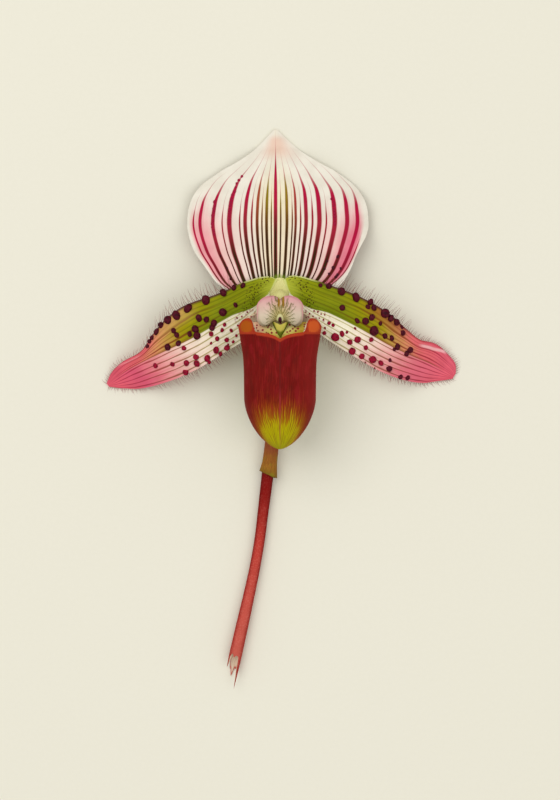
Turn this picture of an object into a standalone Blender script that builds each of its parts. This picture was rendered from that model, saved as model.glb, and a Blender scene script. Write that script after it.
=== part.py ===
"""A slipper orchid flower on its cut stem, lying face up.

The table is z = 0, +Y runs from the stem to the tip of the dorsal sepal, and the viewer looks down on the flower.
Sizes and places are in millimetres from the middle of the flower, and each point is scaled to metres at the end.
"""

import math

import bpy
import numpy as np

MM = 0.001
FLOWER_X = 0.13
FLOWER_Y = 33.47

# Heights of the layers in the middle of the flower.
COLLAR_TOP = 9.4

# Dorsal sepal: distance from the middle, and half width there.
SEPAL_THICKNESS = 0.9
SEPAL_AXIS_X = -0.6
SEPAL_TIP_Y = 46.4
SEPAL_HALF = (
    (0.0, 15.2), (2.6, 18.8), (6.2, 21.6), (12.0, 24.9), (19.0, 26.1), (25.0, 25.3), (30.0, 22.3),
    (34.4, 16.4), (36.7, 12.2), (39.8, 7.4), (43.2, 3.6), (46.4, 0.5),
)
SEPAL_HEIGHT = ((0.0, 10.6), (8.0, 10.3), (20.0, 8.6), (30.0, 5.6), (38.0, 2.5), (42.5, 0.6), (46.4, 0.3))
SEPAL_WAVE = 0.8

# Synsepal.
SYNSEPAL_LENGTH = 39.0
SYNSEPAL_HALF = ((0.0, 2.8), (0.12, 4.8), (0.3, 7.6), (0.55, 8.9), (0.8, 6.9), (0.93, 3.6), (1.0, 0.7))
SYNSEPAL_HEIGHT = ((0.0, 10.5), (0.15, 9.6), (0.35, 8.2), (0.65, 7.4), (1.0, 8.2))

# Petals: the middle line, and the reach above and below it, at shares of the length.
PETAL_THICKNESS = 0.9
LEFT_LINE = (
    (0.0, (-2.2, -0.4)), (0.125, (-7.8, -4.0)), (0.25, (-13.9, -7.4)), (0.375, (-19.8, -10.8)),
    (0.5, (-25.7, -14.1)), (0.625, (-31.9, -17.0)), (0.75, (-38.1, -19.9)), (0.875, (-44.1, -23.1)),
    (1.0, (-49.6, -27.2)),
)
LEFT_ABOVE = (
    (0.0, 4.4), (0.07, 6.5), (0.25, 7.4), (0.44, 9.3), (0.56, 8.5), (0.66, 6.2), (0.76, 3.0), (0.88, 2.8),
    (0.95, 2.1), (1.0, 0.6),
)
LEFT_BELOW = (
    (0.0, 1.5), (0.07, 2.2), (0.22, 7.4), (0.4, 8.1), (0.6, 8.6), (0.75, 7.9), (0.88, 6.0), (0.95, 3.3),
    (1.0, 0.6),
)
RIGHT_LINE = (
    (0.0, (2.2, -0.4)), (0.125, (7.7, -4.0)), (0.25, (13.9, -6.6)), (0.375, (19.9, -9.5)),
    (0.5, (25.8, -12.7)), (0.625, (31.5, -15.9)), (0.75, (37.6, -18.7)), (0.875, (43.8, -21.3)),
    (1.0, (49.2, -24.8)),
)
RIGHT_ABOVE = (
    (0.0, 4.6), (0.07, 6.9), (0.25, 7.7), (0.4, 8.2), (0.55, 7.8), (0.67, 6.4), (0.76, 5.2), (0.85, 5.8),
    (0.94, 4.6), (1.0, 0.9),
)
RIGHT_BELOW = (
    (0.0, 1.3), (0.07, 1.8), (0.22, 6.0), (0.4, 7.5), (0.6, 7.8), (0.75, 7.4), (0.88, 5.8), (0.95, 3.0),
    (1.0, 0.6),
)
PETAL_HEIGHT = (
    (0.0, 12.1), (0.15, 12.4), (0.3, 13.2), (0.44, 12.9), (0.58, 10.8), (0.72, 7.4), (0.86, 3.2),
    (0.94, 0.9), (1.0, 0.3),
)
PETAL_ROOF = 0.026
PETAL_WAVE = 0.7

# Warts of each petal: share of the length, share of the width there (+ is the upper edge), radius.
LEFT_WARTS = (
    (0.16, 0.93, 0.85), (0.24, 0.94, 1.1), (0.31, 0.95, 1.4), (0.38, 0.95, 1.4), (0.44, 0.95, 1.3),
    (0.49, 0.94, 1.1), (0.54, 0.93, 0.9), (0.59, 0.93, 1.0), (0.64, 0.9, 0.8), (0.19, 0.45, 0.8),
    (0.27, 0.42, 1.0), (0.36, 0.5, 1.1), (0.32, 0.2, 0.9), (0.43, 0.42, 1.1), (0.52, 0.52, 0.9),
    (0.5, 0.22, 0.9), (0.58, 0.35, 1.1), (0.2, -0.3, 0.7), (0.28, -0.35, 0.8), (0.3, -0.72, 1.0),
    (0.38, -0.2, 0.8), (0.42, -0.6, 1.0), (0.49, -0.75, 0.95), (0.52, -0.3, 0.8), (0.58, -0.6, 0.9),
    (0.63, -0.35, 0.8),
)
RIGHT_WARTS = (
    (0.17, 0.93, 0.8), (0.23, 0.94, 1.1), (0.3, 0.95, 1.4), (0.36, 0.95, 1.1), (0.41, 0.94, 1.3),
    (0.46, 0.94, 1.2), (0.51, 0.93, 1.1), (0.57, 0.92, 0.9), (0.26, 0.4, 0.9), (0.34, 0.45, 1.1),
    (0.41, 0.5, 1.1), (0.37, 0.15, 1.4), (0.46, 0.3, 1.0), (0.53, 0.3, 0.9), (0.58, 0.5, 0.9),
    (0.2, -0.35, 0.9), (0.22, -0.7, 1.1), (0.29, -0.6, 1.0), (0.31, -0.25, 0.9), (0.38, -0.35, 0.9),
    (0.36, -0.75, 1.0), (0.44, -0.6, 1.1), (0.49, -0.3, 0.8), (0.53, -0.75, 0.9), (0.59, -0.45, 0.9),
)
WART_SIDES = 5

# Pouch: half width, depth from the front to the back and height of its middle, at places along Y.
POUCH_WALL = 0.85
POUCH_TOE_Y = -45.6
POUCH_TOE_START = -31.0
POUCH_HALF = (
    (-31.0, 10.25), (-20.0, 10.5), (-13.5, 11.45), (-10.5, 11.7), (-8.3, 10.9), (-6.0, 8.3), (-4.0, 5.0), (-2.5, 2.6),
)
POUCH_DEPTH = ((-31.0, 8.4), (-20.0, 8.6), (-13.0, 7.3), (-8.3, 6.0), (-4.0, 3.4), (-2.5, 2.5))
POUCH_MIDDLE = ((-45.6, 17.6), (-40.0, 18.6), (-30.0, 20.0), (-20.0, 20.8), (-13.0, 20.8), (-8.3, 20.0), (-2.5, 15.9))
# The rim, from the notch in front (0 degrees) over the ears to the claw at the back (180 degrees).
POUCH_RIM = (
    (0.0, -14.3), (12.0, -13.1), (30.0, -12.1), (40.0, -11.4), (52.0, -9.0), (68.0, -8.1), (90.0, -8.3),
    (112.0, -7.0), (140.0, -4.4), (165.0, -2.8), (180.0, -2.6),
)

# Column, shield and anthers.
COLUMN_PATH = ((0, 0, 9.8), (0, 0, 12.4), (0, -0.2, 14.6), (0, -1.5, 16.2), (0, -3.2, 16.8), (0, -5.0, 16.9))
COLUMN_RADII = (1.5, 1.6, 1.9, 2.0, 1.9, 1.5)
SHIELD_MIDDLE = (0.0, -6.2)
SHIELD_HEIGHT = 19.5
SHIELD_THICKNESS = 1.1
SHIELD_REACH = (
    (-90.0, 2.0), (-72.0, 3.9), (-60.0, 5.3), (-40.0, 5.4), (-15.0, 6.1), (10.0, 6.7), (35.0, 6.4), (60.0, 4.9),
    (80.0, 3.9), (90.0, 3.1),
)
ANTHER_PLACE = (3.2, -4.3, 16.6)
ANTHER_RADII = (1.0, 1.5, 1.0)

# Ovary, bract and stem. The stem lies on the table and bends a little to the left.
OVARY_PATH = (
    (0.0, 0.0, 8.8), (0.0, -0.1, 7.0), (0.0, -0.9, 5.2), (0.0, -2.8, 3.9), (0.0, -6.0, 3.1), (-0.2, -12.0, 2.75),
    (-0.7, -24.0, 2.75), (-1.5, -36.0, 2.75), (-2.3, -44.0, 2.75), (-3.2, -51.4, 2.75),
)
OVARY_RADII = (2.1, 2.0, 1.95, 2.0, 2.15, 2.3, 2.15, 1.35, 1.1, 1.1)
COLLAR_RADIUS = 4.2
COLLAR_THICKNESS = 1.0
BRACT_PATH = ((-2.0, -41.0, 2.75), (-2.5, -45.5, 2.75), (-3.0, -49.5, 2.75), (-3.35, -52.2, 2.7))
BRACT_RADII = (2.15, 2.05, 2.15, 2.65)
BRACT_WALL = 0.55
STEM_RADIUS = 1.55
STEM_PATH = (
    (-3.5, -52.55, 2.4), (-4.1, -57.5, 1.9), (-4.9, -64.0, 1.65), (-5.9, -72.0, 1.6), (-7.3, -80.0, 1.6),
    (-9.0, -88.0, 1.6), (-10.8, -96.0, 1.6), (-12.6, -104.0, 1.6),
)
STEM_TORN = ((0.0, 1.0), (60.0, 9.4), (100.0, 1.2), (180.0, 0.4), (240.0, 3.8), (300.0, 0.5), (360.0, 1.0))


def clear_scene():
    """Removes what the file holds when it is opened."""
    for item in list(bpy.data.objects):
        bpy.data.objects.remove(item, do_unlink=True)


def through(knots, at):
    """The value at `at` of a smooth curve through (place, value) knots."""
    places = [knot[0] for knot in knots]
    values = np.array([knot[1] for knot in knots], float)
    last = len(places) - 1
    at = min(max(at, places[0]), places[last])
    i = min(max(int(np.searchsorted(places, at)) - 1, 0), last - 1)

    def slope(k):
        if k in (0, last):
            k0, k1 = (0, 1) if k == 0 else (last - 1, last)
        else:
            k0, k1 = k - 1, k + 1
        return (values[k1] - values[k0]) / (places[k1] - places[k0])

    span = places[i + 1] - places[i]
    s = (at - places[i]) / span
    return (
        (2 * s**3 - 3 * s**2 + 1) * values[i]
        + (s**3 - 2 * s**2 + s) * span * slope(i)
        + (-2 * s**3 + 3 * s**2) * values[i + 1]
        + (s**3 - s**2) * span * slope(i + 1)
    )


def finish(name, colour, roughness):
    """A plain material of one colour."""
    material = bpy.data.materials.new(name)
    material.use_nodes = True
    shader = material.node_tree.nodes["Principled BSDF"]
    shader.inputs["Base Color"].default_value = (*colour, 1.0)
    shader.inputs["Roughness"].default_value = roughness
    shader.inputs["Metallic"].default_value = 0.0
    return material


def solid(name, points, faces, material):
    """One object from points in millimetres round the flower's middle, shaded smooth."""
    placed = (np.array(points, float) + (FLOWER_X, FLOWER_Y, 0.0)) * MM
    mesh = bpy.data.meshes.new(name)
    mesh.from_pydata(placed.tolist(), [], faces)
    mesh.materials.append(material)
    mesh.shade_smooth()
    mesh.set_sharp_from_angle(angle=math.radians(50))
    made = bpy.data.objects.new(name, mesh)
    bpy.context.scene.collection.objects.link(made)
    return made


def blade(name, rows, columns, place, thickness, material):
    """A thin closed sheet. place(u, v) gives its front, u from 0 to 1 and v from -1 to 1, and both faces are split
    into triangles alike."""
    front = []
    back = []
    for i in range(rows + 1):
        for j in range(columns + 1):
            x, y, z = place(i / rows, 2 * j / columns - 1)
            z = max(z, thickness)
            front.append((x, y, z))
            back.append((x, y, z - thickness))
    count = len(front)
    wide = columns + 1
    faces = []
    for i in range(rows):
        for j in range(columns):
            a, b, c, d = i * wide + j, i * wide + j + 1, (i + 1) * wide + j + 1, (i + 1) * wide + j
            for triangle in ((a, b, c), (a, c, d)):
                faces.append(triangle)
                faces.append(tuple(count + k for k in reversed(triangle)))
    rim = [j for j in range(wide)]
    rim += [i * wide + columns for i in range(1, rows + 1)]
    rim += [rows * wide + j for j in range(columns - 1, -1, -1)]
    rim += [i * wide for i in range(rows - 1, 0, -1)]
    for k, a in enumerate(rim):
        b = rim[(k + 1) % len(rim)]
        faces.append((b, a, a + count))
        faces.append((b, a + count, b + count))
    made = solid(name, front + back, faces, material)
    face_out(made)
    return made


def face_out(made):
    """Turns an inside-out closed mesh."""
    mesh = made.data
    volume = 0.0
    for polygon in mesh.polygons:
        a, b, c = (mesh.vertices[i].co for i in polygon.vertices[:3])
        volume += a.dot(b.cross(c))
    if volume < 0:
        mesh.flip_normals()


def frames_along(path, rings):
    """Points evenly along a smooth path, each with two directions across it."""
    steps = np.linspace(0.0, 1.0, len(path))
    knots = tuple(zip(steps, path))
    places = [through(knots, t) for t in np.linspace(0.0, 1.0, rings)]
    frames = []
    side = np.array((1.0, 0.0, 0.0))
    for i, here in enumerate(places):
        ahead = places[min(i + 1, rings - 1)] - places[max(i - 1, 0)]
        ahead /= np.linalg.norm(ahead)
        side = side - ahead * side.dot(ahead)
        side /= np.linalg.norm(side)
        frames.append((here, ahead, side, np.cross(ahead, side)))
    return frames


def ring_faces(rings, sides):
    """Side faces between rings of points, as triangles."""
    faces = []
    for i in range(rings - 1):
        for j in range(sides):
            a, b = i * sides + j, i * sides + (j + 1) % sides
            c, d = b + sides, a + sides
            faces += [(a, b, c), (a, c, d)]
    return faces


def tube(name, path, radii, rings, sides, material, rib=0.0):
    """A round stalk with closed ends. `rib` makes every other line of points stand out by that share."""
    knots = tuple(zip(np.linspace(0.0, 1.0, len(radii)), radii))
    points = []
    for i, (here, _, side, other) in enumerate(frames_along(path, rings)):
        radius = through(knots, i / (rings - 1))
        for j in range(sides):
            angle = 2 * math.pi * j / sides
            reach = radius * (1 + rib * (1 if j % 2 else -1))
            points.append(here + reach * (math.cos(angle) * side + math.sin(angle) * other))
    faces = ring_faces(rings, sides)
    faces += [(0, j + 1, j) for j in range(1, sides - 1)]
    end = (rings - 1) * sides
    faces += [(end, end + j, end + j + 1) for j in range(1, sides - 1)]
    made = solid(name, points, faces, material)
    face_out(made)
    return made


def join_all(base, extras, label):
    """Fuses the extras to the base in one union and removes them."""
    group = bpy.data.collections.new(label)
    bpy.context.scene.collection.children.link(group)
    for extra in extras:
        bpy.context.scene.collection.objects.unlink(extra)
        group.objects.link(extra)
    union = base.modifiers.new("Union", "BOOLEAN")
    union.operation = "UNION"
    union.operand_type = "COLLECTION"
    union.collection = group
    union.solver = "EXACT"
    bpy.context.view_layer.objects.active = base
    bpy.ops.object.modifier_apply(modifier=union.name)
    for extra in extras:
        bpy.data.objects.remove(extra, do_unlink=True)
    bpy.data.collections.remove(group)


def sepal_place(u, v):
    """Front of the dorsal sepal: heart-shaped base, reflexed and waved sides, keeled tip."""
    along = SEPAL_TIP_Y * (1 - (1 - u) ** 1.12)
    half = float(through(SEPAL_HALF, along))
    x = SEPAL_AXIS_X * min(along / 10.0, 1.0) + half * v
    lobe = -3.6 * math.exp(-(((abs(v) - 0.62) / 0.3) ** 2)) + 2.3 * max(0.0, 1 - abs(v) / 0.28)
    y = along + lobe * (1 - u) ** 7
    side = abs(x - SEPAL_AXIS_X)
    drop = 0.0058 * side**2 + 0.6 * (side / 26.0) ** 6
    keel = 0.5 * math.exp(-((side / 2.5) ** 2)) * u * min(1.0, 5 * (1 - u) ** 2)
    wave = SEPAL_WAVE * abs(v) ** 4 * math.sin(along * 0.52 + (1.1 if v > 0 else 0.0)) * min(1.0, 3 * (1 - u))
    z = float(through(SEPAL_HEIGHT, along)) - drop + keel + wave
    return x, y, z


def make_dorsal_sepal():
    tint = finish("sepal_cream", (0.83, 0.72, 0.62), 0.55)
    return blade("dorsal_sepal", 24, 18, sepal_place, SEPAL_THICKNESS, tint)


def synsepal_place(u, v):
    """Front of the joined lower sepals, behind the pouch."""
    half = float(through(SYNSEPAL_HALF, u))
    y = -2.1 - SYNSEPAL_LENGTH * u
    z = float(through(SYNSEPAL_HEIGHT, u)) + 0.012 * (half * v) ** 2 * u
    return half * v - 0.8 * u, y, z


def make_synsepal():
    tint = finish("synsepal_green", (0.52, 0.56, 0.28), 0.55)
    return blade("synsepal", 14, 8, synsepal_place, 0.8, tint)


def petal_place(line, above, below):
    """The front of a petal as a function of the share along it and the share across it."""

    def place(u, v):
        x, y = through(line, u)
        x0, y0 = through(line, max(u - 0.03, 0.0))
        x1, y1 = through(line, min(u + 0.03, 1.0))
        length = math.hypot(x1 - x0, y1 - y0)
        across = np.array((-(y1 - y0), x1 - x0)) / length
        if across[1] < 0:
            across = -across
        reach = float(through(above if v > 0 else below, u)) * v
        turned = min(1.0, u / 0.12)
        across = across * turned + np.array((0.0, 1.0)) * (1 - turned)
        wave = PETAL_WAVE * abs(v) ** 3 * math.sin(u * 26 + (0.6 if v > 0 else 2.0)) * min(1.0, 4 * u, 4 * (1 - u))
        roll = 1.1 * max(0.0, v) ** 3 * math.exp(-(((u - 0.88) / 0.09) ** 2))
        z = float(through(PETAL_HEIGHT, u)) - PETAL_ROOF * reach**2 * min(1.0, 3 * u) + wave + roll
        return x + across[0] * reach, y + across[1] * reach, z

    return place


def wart(name, middle, radius, material):
    """A low dome whose foot is sunk half way into the petal."""
    x, y, z = middle
    foot = -0.5 * PETAL_THICKNESS
    levels = ((foot, radius), (0.35 * radius, 0.86 * radius), (0.62 * radius, 0.45 * radius))
    points = []
    for height, reach in levels:
        for j in range(WART_SIDES):
            angle = 2 * math.pi * j / WART_SIDES
            points.append((x + reach * math.cos(angle), y + reach * math.sin(angle), z + height))
    faces = ring_faces(len(levels), WART_SIDES)
    top = (len(levels) - 1) * WART_SIDES
    faces.append(tuple(range(WART_SIDES - 1, -1, -1)))
    faces.append(tuple(range(top, top + WART_SIDES)))
    made = solid(name, points, faces, material)
    face_out(made)
    return made


def make_petal(name, line, above, below, warts):
    """One side petal with its warts fused on."""
    tint = finish(name + "_green", (0.42, 0.44, 0.12), 0.5)
    place = petal_place(line, above, below)
    made = blade(name, 26, 8, place, PETAL_THICKNESS, tint)
    domes = [wart(f"{name}_wart_{i}", place(u, v * 0.97), radius, tint) for i, (u, v, radius) in enumerate(warts)]
    join_all(made, domes, name + "_warts")
    return made


def pouch_place(degrees, t):
    """Outside of the pouch: the angle from the front, and 0 at the rim to 1 at the toe."""
    rim = float(through(POUCH_RIM, abs(degrees)))
    y = rim + (POUCH_TOE_Y - rim) * math.sin(t * math.pi / 2)
    half = float(through(POUCH_HALF, y))
    depth = float(through(POUCH_DEPTH, y))
    if y < POUCH_TOE_START:
        share = min((POUCH_TOE_START - y) / (POUCH_TOE_START - POUCH_TOE_Y), 1.0)
        narrowed = (1 - share**1.7) ** 0.62
        half *= narrowed
        depth *= narrowed
    turn = math.radians(degrees)
    return np.array((half * math.sin(turn), y, float(through(POUCH_MIDDLE, y)) + depth * math.cos(turn)))


def pouch_outward(degrees, t):
    """The direction out of the pouch's wall."""
    step = 0.004
    low, high = max(t - step, 0.0), min(t + step, 0.995)
    down = pouch_place(degrees, high) - pouch_place(degrees, low)
    left = max(degrees - 2, -180.0)
    right = min(degrees + 2, 180.0)
    turn = pouch_place(right, t) - pouch_place(left, t)
    out = np.cross(turn, down)
    return out / np.linalg.norm(out)


def make_lip():
    """The pouch, one thin shell open at its mouth."""
    sides, rows = 32, 16
    tint = finish("pouch_maroon", (0.2, 0.03, 0.03), 0.35)
    outer = []
    inner = []
    for i in range(rows):
        t = i / rows
        for j in range(sides):
            degrees = 360.0 * j / sides - 180.0
            here = pouch_place(degrees, t)
            outer.append(here)
            inner.append(here - POUCH_WALL * pouch_outward(degrees, t))
    toe = np.array((0.0, POUCH_TOE_Y, float(through(POUCH_MIDDLE, POUCH_TOE_Y))))
    count = len(outer) + 1
    points = outer + [toe] + inner + [toe + (0, POUCH_WALL, 0)]
    faces = []
    for a, b, c in ring_faces(rows, sides):
        faces += [(a, b, c), (c + count, b + count, a + count)]
    last = (rows - 1) * sides
    for j in range(sides):
        a, b = last + j, last + (j + 1) % sides
        faces += [(a, b, count - 1), (b + count, a + count, 2 * count - 1)]
        a, b = j, (j + 1) % sides
        faces += [(b, a, a + count), (b, a + count, b + count)]
    made = solid("lip", points, faces, tint)
    face_out(made)
    return made


def make_column():
    tint = finish("column_pale", (0.62, 0.64, 0.3), 0.45)
    return tube("column", COLUMN_PATH, COLUMN_RADII, 12, 12, tint)


def make_staminode():
    """The shield: a low dome over an outline with two upper lobes and a notched lower edge."""
    tint = finish("shield_green", (0.55, 0.5, 0.24), 0.4)
    sides, rings = 36, 3
    front = []
    back = []
    for i in range(1, rings + 1):
        share = i / rings
        for j in range(sides):
            angle = 2 * math.pi * j / sides
            x, y = math.cos(angle), math.sin(angle)
            elevation = math.degrees(math.atan2(y, abs(x)))
            reach = float(through(SHIELD_REACH, elevation)) * share
            height = SHIELD_HEIGHT + SHIELD_THICKNESS + 0.9 * (1 - share**2)
            place = (SHIELD_MIDDLE[0] + reach * x, SHIELD_MIDDLE[1] + reach * y)
            front.append((*place, height - (0.5 if share > 0.99 else 0.0)))
            back.append((*place, SHIELD_HEIGHT))
    middle = (*SHIELD_MIDDLE, SHIELD_HEIGHT + SHIELD_THICKNESS + 0.9)
    count = len(front) + 1
    points = front + [middle] + back + [(*SHIELD_MIDDLE, SHIELD_HEIGHT)]
    faces = []
    for a, b, c in ring_faces(rings, sides):
        faces += [(a, b, c), (c + count, b + count, a + count)]
    for j in range(sides):
        a, b = j, (j + 1) % sides
        faces += [(b, a, count - 1), (a + count, b + count, 2 * count - 1)]
        a, b = (rings - 1) * sides + a, (rings - 1) * sides + b
        faces += [(a, b, b + count), (a, b + count, a + count)]
    made = solid("staminode", points, faces, tint)
    face_out(made)
    return made


def make_anther(name, side):
    """A small egg-shaped anther close to the side of the column."""
    tint = finish(name + "_cream", (0.8, 0.68, 0.36), 0.5)
    x, y, z = ANTHER_PLACE
    rings, sides = 7, 10
    points = []
    for i in range(1, rings):
        turn = math.pi * i / rings
        for j in range(sides):
            angle = 2 * math.pi * j / sides
            points.append(
                (
                    side * x + ANTHER_RADII[0] * math.sin(turn) * math.cos(angle),
                    y + ANTHER_RADII[1] * math.cos(turn),
                    z + ANTHER_RADII[2] * math.sin(turn) * math.sin(angle),
                )
            )
    first = len(points)
    points += [(side * x, y + ANTHER_RADII[1], z), (side * x, y - ANTHER_RADII[1], z)]
    faces = ring_faces(rings - 1, sides)
    for j in range(sides):
        a, b = j, (j + 1) % sides
        faces.append((b, a, first))
        faces.append(((rings - 2) * sides + a, (rings - 2) * sides + b, first + 1))
    made = solid(name, points, faces, tint)
    face_out(made)
    return made


def make_ovary():
    """The ribbed ovary, which bends from the back of the flower to lie along the table, with its collar."""
    tint = finish("ovary_green", (0.36, 0.3, 0.12), 0.55)
    made = tube("ovary", OVARY_PATH, OVARY_RADII, 28, 12, tint, rib=0.07)
    collar_path = ((0, 0, COLLAR_TOP - COLLAR_THICKNESS), (0, 0, COLLAR_TOP - COLLAR_THICKNESS / 2), (0, 0, COLLAR_TOP))
    collar = tube("collar", collar_path, (COLLAR_RADIUS - 0.8, COLLAR_RADIUS, COLLAR_RADIUS), 4, 16, tint)
    join_all(made, [collar], "collar_group")
    return made


def make_bract():
    """The sheath: a tube with a thin wall, flared where it meets the stem and slanting at its tip."""
    tint = finish("bract_tan", (0.42, 0.25, 0.1), 0.6)
    rings, sides = 9, 16
    knots = tuple(zip(np.linspace(0.0, 1.0, len(BRACT_RADII)), BRACT_RADII))
    outer = []
    inner = []
    for i, (here, ahead, side, other) in enumerate(frames_along(BRACT_PATH, rings)):
        share = i / (rings - 1)
        radius = float(through(knots, share))
        for j in range(sides):
            angle = 2 * math.pi * j / sides
            out = math.cos(angle) * side + math.sin(angle) * other
            slant = -3.0 * (1 - share) ** 2 * (0.5 + 0.5 * math.cos(angle + 2.2)) * ahead
            outer.append(here + slant + radius * out)
            inner.append(here + slant + min(radius - BRACT_WALL, 1.6) * out)
    count = len(outer)
    faces = []
    for a, b, c in ring_faces(rings, sides):
        faces += [(a, b, c), (c + count, b + count, a + count)]
    end = (rings - 1) * sides
    for j in range(sides):
        a, b = j, (j + 1) % sides
        faces += [(b, a, a + count), (b, a + count, b + count)]
        a, b = end + a, end + b
        faces += [(a, b, b + count), (a, b + count, a + count)]
    made = solid("bract", outer + inner, faces, tint)
    face_out(made)
    return made


def make_scape():
    """The stem, torn off at its lower end in two thin strips."""
    tint = finish("stem_crimson", (0.32, 0.03, 0.03), 0.6)
    rings, sides = 22, 12
    points = []
    frames = frames_along(STEM_PATH, rings)
    for here, _, side, other in frames:
        for j in range(sides):
            angle = 2 * math.pi * j / sides
            points.append(here + STEM_RADIUS * (math.cos(angle) * side + math.sin(angle) * other))
    here, ahead, side, other = frames[-1]
    for share, narrow in ((1.0, 0.95), (0.3, 0.5)):
        for j in range(sides):
            torn = float(through(STEM_TORN, 360.0 * j / sides)) * share
            angle = 2 * math.pi * j / sides
            out = math.cos(angle) * side + math.sin(angle) * other
            points.append(here + torn * ahead + narrow * STEM_RADIUS * out)
    faces = ring_faces(rings + 2, sides)
    faces += [(0, j + 1, j) for j in range(1, sides - 1)]
    points.append(here + 0.2 * ahead)
    middle = len(points) - 1
    end = (rings + 1) * sides
    faces += [(end + j, end + (j + 1) % sides, middle) for j in range(sides)]
    made = solid("scape", points, faces, tint)
    face_out(made)
    return made


def main():
    clear_scene()
    make_dorsal_sepal()
    make_synsepal()
    make_petal("petal_left", LEFT_LINE, LEFT_ABOVE, LEFT_BELOW, LEFT_WARTS)
    make_petal("petal_right", RIGHT_LINE, RIGHT_ABOVE, RIGHT_BELOW, RIGHT_WARTS)
    make_lip()
    make_column()
    make_staminode()
    make_anther("anther_left", -1)
    make_anther("anther_right", 1)
    make_ovary()
    make_bract()
    make_scape()


main()
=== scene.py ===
"""Looks of a slipper orchid flower on its cut stem, lying face up on a pale surface.

Places are worked out in millimetres from the middle of the flower, with +Y towards the tip of the dorsal
sepal and +Z out of the flower's face, and are scaled to metres when a mesh is made.
"""

import math

import bpy
import numpy as np
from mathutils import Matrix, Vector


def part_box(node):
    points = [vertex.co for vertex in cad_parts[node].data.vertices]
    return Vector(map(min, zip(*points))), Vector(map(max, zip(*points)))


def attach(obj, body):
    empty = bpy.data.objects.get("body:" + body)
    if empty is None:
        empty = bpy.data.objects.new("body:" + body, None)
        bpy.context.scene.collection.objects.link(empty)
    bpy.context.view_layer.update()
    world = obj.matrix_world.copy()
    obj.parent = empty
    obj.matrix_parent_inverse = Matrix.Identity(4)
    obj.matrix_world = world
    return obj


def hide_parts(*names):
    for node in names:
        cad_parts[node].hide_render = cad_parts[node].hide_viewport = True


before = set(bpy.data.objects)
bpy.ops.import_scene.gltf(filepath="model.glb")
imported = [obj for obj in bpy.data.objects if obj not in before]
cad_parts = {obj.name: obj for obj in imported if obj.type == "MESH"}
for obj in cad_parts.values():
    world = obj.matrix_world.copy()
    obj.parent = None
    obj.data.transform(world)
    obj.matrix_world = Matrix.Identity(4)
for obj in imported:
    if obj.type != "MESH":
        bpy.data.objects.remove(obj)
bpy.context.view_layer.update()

bl_info = {
    "name": "Slipper Orchid Flower",
    "version": (1, 0, 0),
    "blender": (4, 5, 0),
    "location": "View3D > Sidebar > Orchid",
    "description": "Builds the petals, sepals, pouch, stem, hairs and warts of a slipper orchid flower",
    "category": "Add Mesh",
}

MM = 0.001
TOE_Y = -45.6
FLOWER_X = (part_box("column")[0].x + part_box("column")[1].x) / 2 / MM
FLOWER_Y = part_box("lip")[0].y / MM - TOE_Y
LEAF_MAP = "Leaf"

# The photograph's frame: its size in pixels, the pixel of the flower's middle, and the size of a pixel.
PHOTO_WIDTH, PHOTO_HEIGHT = 560, 800
FLOWER_PIXEL = (280, 290)
PIXEL = 0.2865
SENSOR = 36.0

# Dorsal sepal, as in the solid: half width and height by y, then how far out its last veins are on each side.
SEPAL_TIP_Y = 46.4
SEPAL_AXIS_X = -0.6
SEPAL_WIDEST = 26.0
SEPAL_HALF = (
    (0.0, 14.6), (2.6, 18.0), (6.2, 20.6), (9.1, 22.3), (12.0, 23.9), (15.5, 25.4), (19.0, 26.1),
    (25.0, 25.3), (30.0, 22.3), (34.4, 16.4), (36.7, 12.2), (39.8, 7.4), (43.2, 3.6), (46.4, 0.5),
)
SEPAL_HEIGHT = ((0.0, 10.6), (8.0, 10.3), (20.0, 8.6), (30.0, 5.6), (38.0, 2.5), (42.5, 0.6), (46.4, 0.3))
MIDVEIN_X = -1.3
LEFT_SPREAD = (
    (-4.0, 8.0), (0.0, 13.6), (2.0, 16.4), (4.4, 18.4), (6.7, 19.9), (11.5, 22.9), (18.6, 25.1),
    (25.0, 24.2), (28.5, 22.4), (32.0, 19.4), (35.0, 15.0), (38.0, 10.5), (42.0, 5.5), (46.4, 2.0),
)
RIGHT_SPREAD = (
    (-4.0, 8.0), (0.0, 14.6), (2.6, 18.1), (4.4, 20.0), (6.7, 21.7), (11.5, 24.0), (18.6, 26.3),
    (24.0, 26.1), (27.0, 25.5), (29.5, 24.3), (32.0, 21.8), (34.5, 19.0), (38.0, 14.0), (42.0, 8.0),
    (46.4, 3.0),
)

# Veins of the dorsal sepal: share of the way to the side, width in mm, end as a share of the length, and
# darkness.
SEPAL_VEINS = (
    (-0.94, 0.6, 0.55, 0.0), (-0.864, 1.05, 0.66, 0.1), (-0.716, 1.2, 0.72, 0.3),
    (-0.61, 0.45, 0.56, 0.5), (-0.528, 1.5, 0.78, 0.4), (-0.41, 0.5, 0.58, 0.6), (-0.347, 1.2, 0.8, 0.55),
    (-0.273, 0.6, 0.64, 0.7), (-0.21, 0.95, 0.78, 0.85), (-0.155, 0.5, 0.62, 1.0),
    (-0.102, 0.95, 0.76, 1.0), (-0.048, 0.45, 0.64, 1.0), (0.0, 1.15, 0.94, 0.35),
    (0.057, 0.5, 0.66, 1.0), (0.124, 0.9, 0.78, 0.9), (0.183, 0.45, 0.6, 0.9), (0.22, 0.75, 0.76, 0.7),
    (0.274, 0.5, 0.6, 0.7), (0.333, 1.15, 0.78, 0.6), (0.403, 0.6, 0.62, 0.6), (0.478, 1.4, 0.78, 0.45),
    (0.554, 0.5, 0.58, 0.5), (0.645, 1.45, 0.74, 0.35), (0.78, 1.3, 0.7, 0.2), (0.893, 1.15, 0.66, 0.0),
    (0.958, 0.42, 0.34, 0.0),
)

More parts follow.
